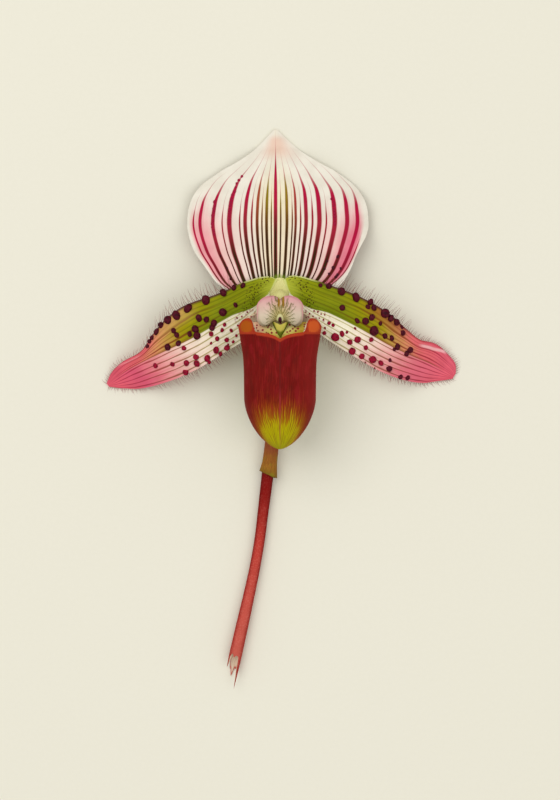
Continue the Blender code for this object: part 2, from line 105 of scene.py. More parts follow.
# Veins of the dorsal sepal that carry small beads: share of the way to the side, and the beads' reach in mm.
BEADED_VEINS = ((-0.528, 19.0, 33.0), (-0.716, 16.0, 26.5), (0.645, 19.0, 27.0))
BEAD_STEP = 1.05

# Larger dark beads low on the dorsal sepal: x, y and radius.
LOW_BEADS = (
    (16.6, 9.6, 0.5), (15.2, 6.3, 0.5), (14.2, 4.5, 0.45), (17.5, 6.3, 0.4), (16.6, 4.5, 0.42),
    (15.9, 3.7, 0.42), (13.6, 8.4, 0.4), (12.8, 6.4, 0.4), (-15.3, 6.2, 0.35), (-14.2, 3.4, 0.4),
    (-17.0, 9.8, 0.32),
)

# Synsepal.
SYNSEPAL_FOOT_Y = -2.1
SYNSEPAL_LENGTH = 39.0
SYNSEPAL_THICKNESS = 0.75
SYNSEPAL_HALF = ((0.0, 2.8), (0.12, 4.8), (0.3, 7.6), (0.55, 8.9), (0.8, 6.9), (0.93, 3.6), (1.0, 0.7))
SYNSEPAL_HEIGHT = ((0.0, 10.5), (0.15, 9.6), (0.35, 8.2), (0.65, 7.4), (1.0, 8.2))

# Petals, as in the solids: share of the length, then x and y of the middle line.
LEFT_LINE = (
    (0.0, -2.2, -0.4), (0.125, -7.8, -4.0), (0.25, -13.9, -7.4), (0.375, -19.8, -10.8),
    (0.5, -25.7, -14.1), (0.625, -31.9, -17.0), (0.75, -38.1, -19.9), (0.875, -44.1, -23.1),
    (1.0, -49.6, -27.2),
)
LEFT_ABOVE = (
    (0.0, 4.4), (0.07, 6.5), (0.25, 7.4), (0.44, 9.3), (0.56, 8.5), (0.66, 6.2), (0.76, 3.0), (0.88, 2.8),
    (0.95, 2.1), (1.0, 0.6),
)
LEFT_BELOW = (
    (0.0, 1.5), (0.07, 2.2), (0.22, 7.4), (0.4, 8.1), (0.6, 8.6), (0.75, 7.9), (0.88, 6.0), (0.95, 3.3),
    (1.0, 0.6),
)
RIGHT_LINE = (
    (0.0, 2.2, -0.4), (0.125, 7.7, -4.0), (0.25, 13.9, -6.6), (0.375, 19.9, -9.5), (0.5, 25.8, -12.7),
    (0.625, 31.5, -15.9), (0.75, 37.6, -18.7), (0.875, 43.8, -21.3), (1.0, 50.0, -24.9),
)
RIGHT_ABOVE = (
    (0.0, 4.6), (0.07, 6.9), (0.25, 7.7), (0.4, 8.2), (0.55, 7.8), (0.67, 6.4), (0.76, 5.2), (0.85, 5.8),
    (0.94, 4.4), (0.97, 3.7), (0.985, 2.8), (1.0, 1.2),
)
RIGHT_BELOW = (
    (0.0, 1.3), (0.07, 1.8), (0.22, 6.0), (0.4, 7.5), (0.6, 7.8), (0.75, 7.4), (0.88, 5.8), (0.95, 3.0),
    (1.0, 0.6),
)
PETAL_HEIGHT = (
    (0.0, 12.1), (0.15, 12.4), (0.3, 13.2), (0.44, 12.9), (0.58, 10.8), (0.72, 7.4), (0.86, 3.2),
    (0.94, 0.9), (1.0, 0.3),
)

# How much a petal drops to its sides, and how far its edges wave.
PETAL_ROOF = 0.026
PETAL_WAVE = 0.7

# How far a petal's inner end leans in at its top, and how far all of it stands out.
LEFT_LEAN = (2.5, 0.75)
RIGHT_LEAN = (1.8, 0.35)
LEFT_PETAL = (LEFT_LINE, LEFT_ABOVE, LEFT_BELOW, LEFT_LEAN)
RIGHT_PETAL = (RIGHT_LINE, RIGHT_ABOVE, RIGHT_BELOW, RIGHT_LEAN)

# Looks of each petal: strength of the painted pink highlight on its rolled fold near the tip, then the tones
# of its shoulder, lower half and lower tip.
# The left petal's shoulder tone is a painted highlight; the right petal's is its own orange-brown colour.
LEFT_LOOK = (0.25, "#cfa05c", "#ede4ca", "#da5a74")
# The right petal's lower half is ivory, painted lighter than the left one's to offset the shade the pouch
# casts on it.
RIGHT_LOOK = (0.8, "#9c4f26", "#f4ecd2", "#e46c7e")

# Thickness of the petals and the dorsal sepal, in the middle and at the rim.
BLADE_THICKNESS = 0.9
BLADE_EDGE = 0.45

# Warts of each petal: x, y and radius.
LEFT_WARTS = (
    (-10.6, 1.4, 0.85), (-13.2, 0.6, 0.85), (-16.3, -0.9, 1.15), (-21.2, -2.9, 1.4), (-26.4, -5.2, 1.4),
    (-29.8, -7.2, 1.4), (-32.1, -8.6, 1.15), (-34.1, -10.0, 0.9), (-35.5, -12.0, 1.0),
    (-36.7, -13.5, 0.7), (-37.5, -14.6, 0.6), (-38.1, -16.0, 0.55), (-12.6, -4.3, 0.7),
    (-16.3, -6.3, 1.15), (-23.2, -8.0, 1.1), (-21.2, -8.6, 0.85), (-18.9, -9.5, 1.0),
    (-19.5, -10.9, 0.85), (-24.1, -11.2, 1.15), (-30.4, -11.7, 0.85), (-29.5, -12.9, 0.85),
    (-25.8, -12.6, 0.85), (-23.8, -13.2, 1.1), (-29.2, -15.2, 0.85), (-32.1, -16.3, 1.0),
    (-15.8, -10.0, 0.55), (-16.6, -11.5, 0.6), (-14.0, -11.7, 0.55), (-18.1, -14.0, 0.7),
    (-15.2, -14.3, 0.7), (-19.8, -12.6, 0.7), (-19.8, -15.2, 0.45), (-12.6, -13.2, 0.45),
    (-13.5, -14.9, 0.45), (-27.5, -16.6, 0.7), (-18.3, -17.2, 1.0), (-17.2, -18.3, 0.7),
    (-15.2, -16.6, 0.85), (-24.1, -19.2, 0.85), (-23.8, -20.9, 1.0), (-20.9, -19.5, 1.0),
    (-20.3, -20.6, 0.55), (-26.9, -20.9, 0.95), (-30.9, -21.2, 0.7), (-35.8, -21.8, 0.75),
    (-27.2, -23.5, 0.9), (-12.1, -10.2, 0.3), (-12.2, -8.0, 0.28), (-10.9, -7.6, 0.26),
    (-14.7, -15.6, 0.3), (-9.4, -6.4, 0.26), (-9.1, -7.7, 0.22),
)
RIGHT_WARTS = (
    (11.7, 1.4, 0.6), (14.0, 1.1, 0.85), (17.5, -0.3, 1.15), (21.8, -2.0, 1.4), (25.8, -3.4, 1.0),
    (26.9, -5.2, 0.85), (25.2, -4.9, 0.7), (30.1, -6.6, 1.3), (31.8, -8.0, 1.0), (33.5, -9.2, 1.0),
    (35.0, -10.6, 0.6), (35.2, -12.3, 0.8), (17.8, -5.2, 0.85), (22.1, -8.9, 0.85), (24.6, -8.9, 1.0),
    (26.4, -8.0, 0.95), (28.7, -9.5, 0.65), (26.9, -11.7, 1.4), (30.1, -13.2, 0.85), (32.1, -13.8, 0.85),
    (32.7, -16.9, 0.6), (33.8, -16.3, 0.95), (36.4, -18.1, 0.85), (37.5, -17.2, 0.9), (14.0, -9.5, 0.55),
    (15.2, -10.0, 0.5), (15.8, -13.5, 1.2), (17.8, -12.6, 0.9), (19.2, -12.0, 0.5), (21.5, -10.9, 0.4),
    (22.3, -14.3, 0.95), (20.1, -14.9, 0.8), (26.1, -14.3, 0.7), (20.6, -17.5, 1.0), (24.6, -16.6, 0.75),
    (23.5, -18.9, 0.85), (26.6, -19.8, 1.1), (28.9, -20.9, 0.9), (31.5, -20.1, 0.6), (31.5, -22.6, 0.9),
    (34.7, -24.9, 0.75), (36.7, -25.2, 0.75), (12.6, -12.3, 0.55), (9.9, -6.0, 0.26), (10.8, -6.3, 0.28),
    (11.8, -6.8, 0.26), (12.8, -7.2, 0.24), (12.6, -8.6, 0.28), (11.2, -8.1, 0.24), (9.4, -7.5, 0.28),
    (8.4, -6.8, 0.3), (7.5, -6.5, 0.24), (8.1, -7.6, 0.24), (12.8, -10.9, 0.32), (24.5, -20.7, 0.26),
    (27.3, -22.4, 0.26),
)

# How far to the right the lower warts turn dark too.
WARTS_DARKEN_AT = 31.0

# Pouch, as in the solid: half width, depth and middle height by y, and the rim's y by degrees from the front.
POUCH_WALL = 0.75
POUCH_TOE_START = -31.0
POUCH_HALF = (
    (-31.0, 10.25), (-20.0, 10.5), (-13.5, 11.45), (-10.5, 11.7), (-8.3, 10.9), (-6.0, 8.3), (-4.0, 5.0),
    (-2.5, 2.6),
)
POUCH_DEPTH = ((-31.0, 8.4), (-20.0, 8.6), (-13.0, 7.3), (-8.3, 6.0), (-4.0, 3.4), (-2.5, 2.5))
POUCH_MIDDLE = (
    (-45.6, 17.6), (-40.0, 18.6), (-30.0, 20.0), (-20.0, 20.8), (-13.0, 20.8), (-8.3, 20.0), (-2.5, 15.9),
)
POUCH_RIM = (
    (0.0, -14.2), (3.0, -13.85), (7.5, -13.3), (15.0, -12.8), (26.0, -12.4), (33.0, -12.25),
    (36.5, -12.0), (38.5, -11.2), (40.0, -10.2), (43.5, -9.2), (49.0, -8.55), (57.0, -8.3), (65.0, -8.5),
    (72.0, -9.0), (79.0, -9.9), (90.0, -10.6), (102.0, -9.8), (120.0, -7.6), (140.0, -5.2), (165.0, -3.0),
    (180.0, -2.6),
)

# Ears: the angle of their middle, the height of their foot, and the spot on each (aside, above the foot).
EAR_MIDDLE = 55.0
EAR_FOOT_Y = -12.5
EAR_SPOT = (9.6, 1.9)
EAR_SPOT_RADIUS = 2.1

# The thin parts inside the pouch's mouth.
LOBE_THICKNESS = 0.6
TOOTH_THICKNESS = 0.7

# Column, and the pale cushion behind it.
COLUMN_PATH = (
    (0, -0.9, 9.8), (0, -1.1, 12.4), (0, -1.6, 14.6), (0, -2.6, 16.2), (0, -4.0, 17.2), (0, -5.4, 18.0),
)
COLUMN_RADII = (1.2, 1.3, 1.8, 2.3, 2.4, 1.7)
CUSHION_PATH = ((0, 0.1, 9.6), (0, 0.1, 10.6), (0, 0.1, 11.5), (0, 0.1, 11.95))
CUSHION_RADII = (2.8, 3.3, 3.2, 0.4)

# Shield: its reach by degrees above the level, its face's foot and height, its boss, and its two grooves'
# middle and half gap.
SHIELD_MIDDLE = (0.0, -6.2)
SHIELD_HEIGHT = 19.5
SHIELD_THICKNESS = 1.1
SHIELD_REACH = (
    (-90.0, 3.3), (-76.0, 3.1), (-64.0, 3.2), (-56.0, 3.8), (-50.0, 5.1), (-45.0, 6.2), (-36.0, 6.8),
    (-24.0, 7.0), (0.0, 6.6), (16.0, 6.8), (35.0, 6.3), (57.0, 5.3), (75.0, 4.4), (84.0, 3.8),
    (90.0, 3.3),
)
SHIELD_FOOT_Y = -12.0
SHIELD_TALL = 10.5
BOSS_PLACE = (0.0, -8.75)
GROOVES_MIDDLE_X = 0.3
GROOVES_HALF_GAP = 0.62

# Anthers.
ANTHER_PLACE = (3.2, -4.3, 16.6)
ANTHER_RADIUS = 1.0
ANTHER_HALF_LENGTH = 1.5

# Ovary and its collar.
OVARY_PATH = (
    (0.0, 0.0, 8.8), (0.0, -0.1, 7.0), (0.0, -0.9, 5.2), (0.0, -2.8, 3.9), (0.0, -6.0, 3.1),
    (-0.2, -12.0, 2.75), (-0.7, -24.0, 2.75), (-1.5, -36.0, 2.75), (-2.3, -44.0, 2.75),
    (-3.2, -51.4, 2.75),
)
OVARY_RADII = (2.1, 2.0, 1.95, 2.0, 2.15, 2.3, 2.15, 1.35, 1.1, 1.1)
COLLAR_TOP = 9.4
COLLAR_RADIUS = 4.2
COLLAR_THICKNESS = 1.0
STALK_RIBS = 6

# Bract, with how far its lower end hangs down and its upper end rises on one side.
BRACT_PATH = ((-2.0, -41.0, 2.75), (-2.5, -45.5, 2.75), (-3.0, -49.5, 2.75), (-3.35, -52.2, 2.7))
BRACT_RADII = (2.15, 2.05, 2.15, 2.65)
BRACT_WALL = 0.55
BRACT_DROP = 1.5
BRACT_RISE = 3.0

# Stem, with how far its end is torn by degrees round it.
STEM_RADII = (1.72, 1.66, 1.56, 1.52, 1.55, 1.64, 1.78, 1.86)
STEM_PATH = (
    (-3.4, -51.6, 2.5), (-4.1, -57.5, 1.95), (-4.9, -64.0, 1.7), (-5.9, -72.0, 1.65), (-7.3, -80.0, 1.7),
    (-9.0, -88.0, 1.75), (-10.8, -96.0, 1.85), (-12.6, -104.0, 1.92),
)
STEM_TORN = (
    (0.0, 8.2), (16.0, 10.2), (34.0, 7.0), (50.0, 2.4), (75.0, 1.0), (98.0, 1.7), (120.0, 0.8),
    (150.0, 1.6), (178.0, 4.8), (200.0, 3.2), (225.0, 2.0), (250.0, 5.6), (275.0, 6.4), (300.0, 4.5),
    (325.0, 5.0), (345.0, 6.2), (360.0, 8.2),
)

# Rings past the stem's end: share of the torn reach, share of the stem's width, and place on the leaf map.
STEM_END_RINGS = ((0.5, 0.98, 1.0), (1.0, 0.9, 1.02), (0.7, 0.72, 1.1), (0.3, 0.5, 1.1))

# Edges of a petal that carry hairs: name, side, and the share of the length where the hairs start.
HAIR_EDGES = (("upper", 1.0, 0.15), ("lower", -1.0, 0.24))

# Hairs and warts: tip radius, bend and lowest place of a hair, then roughness in mm and turn of a wart.
HAIR_TIP = 0.01
HAIR_CURL = 0.7
HAIR_LOWEST = 0.05
WART_ROUGHNESS = 0.38
WART_SPIN = 0.7

# Bumps of the skin: strength, and depth in metres.
BUMP_STRENGTH = 0.25
BUMP_DEPTH = 0.00006

# Edges sharper than this many degrees stay sharp.
SHARP_ANGLE = 60.0

# The surface's half size and the camera's distance in metres, and the height in mm where the photograph's
# scale holds.
FLOOR_HALF = 1.6
CAMERA_AWAY = 2.0
SCALE_LEVEL = 12.0

# Strength of the even room light, and the two lamps: name, place in metres and power in watts.
ROOM_LIGHT = 0.62
LAMPS = (("window_light", (-0.4, 0.35, 0.9), 4.4), ("fill_light", (0.45, -0.2, 0.9), 2.4))
LAMP_SIZE = 0.8


def linear(hex_colour):
    """A colour written as it looks on screen, as the linear values that shaders take."""
    channels = [int(hex_colour[i : i + 2], 16) / 255 for i in (1, 3, 5)]
    return [c / 12.92 if c <= 0.04045 else ((c + 0.055) / 1.055) ** 2.4 for c in channels]


def shown(colour):
    """The linear values of a colour that is given as text or as values."""
    return linear(colour) if isinstance(colour, str) else colour


def length_setting(name, description, value):
    return bpy.props.FloatProperty(name=name, description=description, default=value * MM, unit="LENGTH")


def colour_setting(name, description, hex_colour):
    return bpy.props.FloatVectorProperty(
        name=name, description=description, default=linear(hex_colour), subtype="COLOR", size=3, min=0.0,
        max=1.0,
    )


class OrchidSizes(bpy.types.PropertyGroup):
    """Sizes that change how fine the flower looks."""

    vein_relief: length_setting("Vein relief", "How far the veins of the dorsal sepal stand out", 0.14)
    hair_long: length_setting("Longest hair", "Length of the longest hairs on the petals' upper edge", 5.2)
    hair_short: length_setting("Shortest hair", "Length of the shortest hairs there", 3.0)
    hair_radius: length_setting("Hair radius", "Radius of a hair at its root", 0.068)
    hair_count: bpy.props.IntProperty(name="Hairs", description="Hairs on each edge of a petal", default=82)
    wart_stretch: bpy.props.FloatProperty(
        name="Wart size", description="Scale of every wart and bead", default=1.0, subtype="FACTOR"
    )


class OrchidColours(bpy.types.PropertyGroup):
    """Main colours of the flower."""

    ivory: colour_setting("Ivory", "Ground of the dorsal sepal", "#e9e3d3")
    rose: colour_setting("Rose", "Blush between the sepal's outer veins", "#ecaaa8")
    crimson: colour_setting("Crimson", "Upper part of the sepal's veins", "#b0123c")
    umber: colour_setting("Umber", "Foot of the sepal's veins", "#382008")
    leaf_green: colour_setting("Leaf green", "Upper half of the petals", "#80860a")
    petal_pink: colour_setting("Petal pink", "Tips of the petals", "#e0606e")
    wart_dark: colour_setting("Wart maroon", "Warts on the petals' upper half", "#520a1c")
    wart_red: colour_setting("Wart crimson", "Warts on the petals' lower half", "#940a2c")
    maroon: colour_setting("Maroon", "Front of the pouch", "#720e0c")
    toe_green: colour_setting("Toe green", "Toe of the pouch", "#baae02")
    stem_red: colour_setting("Stem red", "The cut stem", "#78100e")


def sizes():
    return bpy.context.scene.orchid_sizes


def colours():
    return bpy.context.scene.orchid_colours


def through(knots, at):
    """Values at `at` of a smooth curve through (place, value) knots."""
    places = np.array([knot[0] for knot in knots], float)
    values = np.array([knot[1] for knot in knots], float)
    at = np.clip(np.asarray(at, float), places[0], places[-1])
    i = np.clip(np.searchsorted(places, at, side="left") - 1, 0, len(places) - 2)
    slopes = np.empty_like(values)
    slopes[1:-1] = (values[2:] - values[:-2]) / (places[2:] - places[:-2])
    slopes[0] = (values[1] - values[0]) / (places[1] - places[0])
    slopes[-1] = (values[-1] - values[-2]) / (places[-1] - places[-2])
    span = places[i + 1] - places[i]
    s = (at - places[i]) / span
    return (
        (2 * s**3 - 3 * s**2 + 1) * values[i]
        + (s**3 - 2 * s**2 + s) * span * slopes[i]
        + (-2 * s**3 + 3 * s**2) * values[i + 1]
        + (s**3 - s**2) * span * slopes[i + 1]
    )


def along_path(path, shares):
    """Points on a smooth path through 3-D places, at shares of the way."""
    steps = np.linspace(0.0, 1.0, len(path))
    return np.stack([through(list(zip(steps, (p[k] for p in path))), shares) for k in range(3)], -1)


def step(low, high, value):
    """0 below low, 1 above high, and smooth between."""
    share = np.clip((value - low) / (high - low), 0.0, 1.0)
    return share * share * (3 - 2 * share)


def bump(value, place, width):
    """A smooth hump: 1 at its place and 0 far from it."""
    return np.exp(-(((value - place) / width) ** 2))


def as_object(name, points, leaf, faces, material):
    """One object from points in mm round the flower's middle. `leaf` has an (across, along) pair a point."""
    mesh = bpy.data.meshes.new(name)
    mesh.from_pydata(((points.reshape(-1, 3) + (FLOWER_X, FLOWER_Y, 0.0)) * MM).tolist(), [], faces)
    layer = mesh.uv_layers.new(name=LEAF_MAP)
    corners = np.empty(len(mesh.loops), int)
    mesh.loops.foreach_get("vertex_index", corners)
    layer.data.foreach_set("uv", leaf.reshape(-1, 2)[corners].ravel())
    mesh.materials.append(material)
    face_out(mesh)
    mesh.shade_smooth()
    mesh.set_sharp_from_angle(angle=math.radians(SHARP_ANGLE))
    made = bpy.data.objects.new(name, mesh)
    bpy.context.scene.collection.objects.link(made)
    return made


def face_out(mesh):
    """Turns an inside-out closed mesh."""
    mesh.calc_loop_triangles()
    corners = np.empty(len(mesh.loop_triangles) * 3, int)
    mesh.loop_triangles.foreach_get("vertices", corners)
    points = np.empty(len(mesh.vertices) * 3)
    mesh.vertices.foreach_get("co", points)
    triangles = points.reshape(-1, 3)[corners.reshape(-1, 3)]
    if np.linalg.det(triangles).sum() < 0:
        mesh.flip_normals()


def grid_quads(rows, columns, closed=False):
    """Quads of a grid of points, closed round its columns if asked."""
    wide = columns if closed else columns + 1
    quads = []
    for i in range(rows):
        for j in range(columns):
            k = (j + 1) % wide
            quads.append((i * wide + j, i * wide + k, (i + 1) * wide + k, (i + 1) * wide + j))
    return quads


def between(name, grids, leaves, quads, edges, caps, material):
    """An object from two alike grids: the quads on both sides, joined along edges and closed by caps."""
    count = grids[0].shape[0] * grids[0].shape[1]
    faces = quads + [tuple(count + k for k in reversed(quad)) for quad in quads]
    for ring in edges:
        faces += [(b, a, a + count, b + count) for a, b in zip(ring, ring[1:] + ring[:1])]
    for ring in caps:
        faces += [tuple(reversed(ring)), tuple(count + k for k in ring)]
    points = np.concatenate([grid.reshape(-1, 3) for grid in grids])
    leaf = np.concatenate([leaf.reshape(-1, 2) for leaf in leaves])
    return as_object(name, points, leaf, faces, material)


def sheet_between(name, front, back, leaf, material):
    """A closed sheet between two grids of points of the same size."""
    rows, columns = front.shape[0] - 1, front.shape[1] - 1
    wide = columns + 1
    rim = list(range(wide))
    rim += [i * wide + columns for i in range(1, rows + 1)]
    rim += [rows * wide + j for j in range(columns - 1, -1, -1)]
    rim += [i * wide for i in range(rows - 1, 0, -1)]
    return between(name, (front, back), (leaf, leaf), grid_quads(rows, columns), (rim,), (), material)


def shell_between(name, outer, inner, leaves, material, first_joined, last_joined):
    """A shell between two grids that are closed round their columns, with each end joined or capped."""
    rings, sides = outer.shape[0] - 1, outer.shape[1]
    ends = (list(range(sides)), [rings * sides + j for j in reversed(range(sides))])
    joined = [end for end, wanted in zip(ends, (first_joined, last_joined)) if wanted]
    capped = [end for end in ends if end not in joined]
    quads = grid_quads(rings, sides, closed=True)
    return between(name, (outer, inner), leaves, quads, joined, capped, material)


def tube_of(name, points, leaf, material):
    """A closed stalk from rings of points."""
    rings, sides = points.shape[0] - 1, points.shape[1]
    faces = grid_quads(rings, sides, closed=True)
    faces.append(tuple(reversed(range(sides))))
    faces.append(tuple(rings * sides + j for j in range(sides)))
    return as_object(name, points, leaf, faces, material)


def hang_on(piece, slot, *nodes):
    """Puts a finished piece on the object's body, in the nodes' place."""
    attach(piece, "root")
    if nodes:
        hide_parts(*nodes)
    return piece


class Value:
    """What a node gives out. Plain arithmetic on it adds nodes to the same tree."""

    def __init__(self, nodes, socket):
        self.nodes = nodes
        self.socket = socket

    def __add__(self, other):
        return self.nodes.math("ADD", self, other)

    def __sub__(self, other):
        return self.nodes.math("SUBTRACT", self, other)

    def __rsub__(self, other):
        return self.nodes.math("SUBTRACT", other, self)

    def __mul__(self, other):
        return self.nodes.math("MULTIPLY", self, other)

    def __truediv__(self, other):
        return self.nodes.math("DIVIDE", self, other)

    def __abs__(self):
        return self.nodes.math("ABSOLUTE", self)


class Nodes:
    """Adds nodes to a tree and links them."""

    def __init__(self, tree):
        self.tree = tree

    def add(self, kind, inputs=None, **settings):
        """Adds a node and gives its values by name. Inputs go by name, or by place where names are alike."""
        made = self.tree.nodes.new(kind)
        for key, value in settings.items():
            setattr(made, key, value)
        sockets = {socket.name: socket for socket in made.inputs if socket.enabled}
        for key, value in (inputs or {}).items():
            self.give(made.inputs[key] if isinstance(key, int) else sockets[key], value)
        return {socket.name: Value(self, socket) for socket in made.outputs if socket.enabled}

    def give(self, socket, value):
        """Links a value to a socket, or sets the socket to a plain number, text, vector or colour."""
        if isinstance(value, Value):
            self.tree.links.new(value.socket, socket)
        elif socket.type == "RGBA":
            socket.default_value = (*shown(value), 1.0)
        else:
            socket.default_value = value

    def math(self, operation, *terms):
        """One sum or other operation on plain numbers and values."""
        return self.add("ShaderNodeMath", dict(enumerate(terms)), operation=operation)["Value"]

    def vector(self, x, y, z=0.0):
        return self.add("ShaderNodeCombineXYZ", {"X": x, "Y": y, "Z": z})["Vector"]

    def split(self, vector):
        return self.add("ShaderNodeSeparateXYZ", {"Vector": vector})

    def object_place(self):
        return self.add("ShaderNodeTexCoord")["Object"]


def ease(value, low, high, start=0.0, end=1.0):
    """A smooth step from start to end while the value goes from low to high."""
    inputs = {"Value": value, "From Min": low, "From Max": high, "To Min": start, "To Max": end}
    return value.nodes.add("ShaderNodeMapRange", inputs, interpolation_type="SMOOTHSTEP")["Result"]


def fade(value, low, high, start=1.0):
    """A smooth step from start down to 0."""
    return ease(value, low, high, start, 0.0)


def near(value, place, full, none, most=1.0):
    """`most` where the value is within `full` of a place, down to 0 where it is `none` away from it."""
    return fade(abs(value - place), full, none, most)


def larger(a, b):
    """The larger of a value and another value or number."""
    return a.nodes.math("MAXIMUM", a, b)


def noise(place, scale, detail=2.0):
    """Soft uneven patches, mostly between 0.3 and 0.7."""
    return place.nodes.add("ShaderNodeTexNoise", {"Vector": place, "Scale": scale, "Detail": detail})["Fac"]


def mix(share, a, b, blend="MIX"):
    """Colour a, turning to colour b as the share goes from 0 to 1."""
    inputs = {"Factor": share, "A": a, "B": b}
    return share.nodes.add("ShaderNodeMix", inputs, data_type="RGBA", blend_type=blend)["Result"]


def painted(ground, *layers):
    """The ground with layers of (share, tone) laid over it in order."""
    for share, tone in layers:
        ground = mix(share, ground, tone)
    return ground


def ramp(value, *stops):
    """The tone for a value, out of stops of (place, tone)."""
    colour = value.nodes.add("ShaderNodeValToRGB", {"Fac": value})["Color"]
    elements = colour.socket.node.color_ramp.elements
    while len(elements) < len(stops):
        elements.new(0.5)
    for element, (place, tone) in zip(elements, stops):
        element.position = place
        element.color = (*shown(tone), 1.0)
    return colour


def filled_tree(name, kind, inputs, output, fill):
    """A node tree that `fill` makes when it is first asked for. Inputs are (name, kind) pairs."""
    tree = bpy.data.node_groups.get(name)
    if tree is None:
        tree = bpy.data.node_groups.new(name, kind)
        for label, socket in inputs:
            tree.interface.new_socket(name=label, in_out="INPUT", socket_type="NodeSocket" + socket)
        nodes = Nodes(tree)
        made = fill(nodes, nodes.add("NodeGroupInput"))
        for label in made:
            tree.interface.new_socket(name=label, in_out="OUTPUT", socket_type="NodeSocket" + output)
        nodes.add("NodeGroupOutput", made)
    return tree


def grouped(nodes, name, inputs, fill):
    """Places a shader group with these inputs, all of them numbers, and gives its values."""
    tree = filled_tree(name, "ShaderNodeTree", [(label, "Float") for label in inputs], "Float", fill)
    return nodes.add("ShaderNodeGroup", inputs, node_tree=tree)


def vein(across, along, place, width, end):
    """One vein along a leaf map and its inner part: narrow towards its end, where it fades out."""

    def fill(nodes, given):
        used = given["Along"] / given["End"]
        wide = given["Width"] * ease(used, 0.7, 1.0, 1.0, 0.34) * ease(given["Along"], 0.0, 0.34, 1.32, 1.0)
        share = abs(given["Across"] - given["Place"]) / wide
        left = ease(used, 0.8, 1.0, 1.0, 0.45) * fade(used, 0.95, 1.18)
        return {"Mask": fade(share, 0.7, 1.2) * left, "Core": fade(share, 0.42, 0.85)}

    inputs = {"Across": across, "Along": along, "Place": place, "Width": width, "End": end}
    return grouped(across.nodes, "Vein", inputs, fill)


def comb(across, along, count, width, wander):
    """Lines at even steps across a leaf map, wandering a little."""

    def fill(nodes, given):
        shift = (noise(nodes.vector(given["Along"], given["Across"]), 6.0) - 0.5) * given["Wander"]
        away = abs(nodes.math("FRACT", given["Across"] * given["Count"] + shift) - 0.5)
        return {"Mask": fade(away / given["Width"], 0.4, 1.0)}

    inputs = {"Across": across, "Along": along, "Count": count, "Width": width, "Wander": wander}
    return grouped(across.nodes, "Vein comb", inputs, fill)["Mask"]


def grain(nodes):
    """The fine cells of petal flesh: a height for bumps and a soft value for colour."""

    def fill(nodes, given):
        place = nodes.object_place()
        cells = nodes.add("ShaderNodeTexVoronoi", {"Vector": place, "Scale": given["Scale"]})
        return {"Height": 1.0 - cells["Distance"], "Tone": noise(place, given["Patch"], 4.0)}

    return grouped(nodes, "Flesh grain", {"Scale": 2500.0, "Patch": 260.0}, fill)


def speckles(nodes, scale, size, share):
    """Small round dots scattered over the surface, on a share of the cells."""

    def fill(nodes, given):
        inputs = {"Vector": nodes.object_place(), "Scale": given["Scale"], "Randomness": 0.9}
        cells = nodes.add("ShaderNodeTexVoronoi", inputs)
        chosen = nodes.add("ShaderNodeSeparateColor", {"Color": cells["Color"]})["Red"]
        dot = fade(cells["Distance"] / given["Size"], 0.75, 1.05)
        return {"Mask": dot * nodes.math("LESS_THAN", chosen, given["Share"])}

    return grouped(nodes, "Speckle", {"Scale": scale, "Size": size, "Share": share}, fill)["Mask"]


def new_finish(name):
    """A material with its nodes, and the leaf map's across (-1 to 1) and along (0 to 1)."""
    material = bpy.data.materials.new(name)
    material.use_nodes = True
    nodes = Nodes(material.node_tree)
    leaf = nodes.split(nodes.add("ShaderNodeUVMap", uv_map=LEAF_MAP)["UV"])
    return material, nodes, nodes.math("MULTIPLY_ADD", leaf["X"], 2.0, -1.0), leaf["Y"]


def flesh(material, colour, roughness, shine=0.06, extra_height=None):
    """The material with this colour and the soft uneven tone, cell bumps and roughness of petal flesh."""
    nodes = colour.nodes
    shader = material.node_tree.nodes["Principled BSDF"]
    cells = grain(nodes)
    toned = mix(ease(cells["Tone"], 0.3, 0.7, 0.0, 0.14), colour, (0.45, 0.35, 0.28), "MULTIPLY")
    nodes.give(shader.inputs["Base Color"], toned)
    nodes.give(shader.inputs["Roughness"], ease(cells["Tone"], 0.3, 0.7, roughness - 0.06, roughness + 0.08))
    height = cells["Height"]
    if extra_height is not None:
        height = height + extra_height
    inputs = {"Strength": BUMP_STRENGTH, "Distance": BUMP_DEPTH, "Height": height}
    nodes.give(shader.inputs["Normal"], nodes.add("ShaderNodeBump", inputs)["Normal"])
    shader.inputs["Specular IOR Level"].default_value = shine
    return material


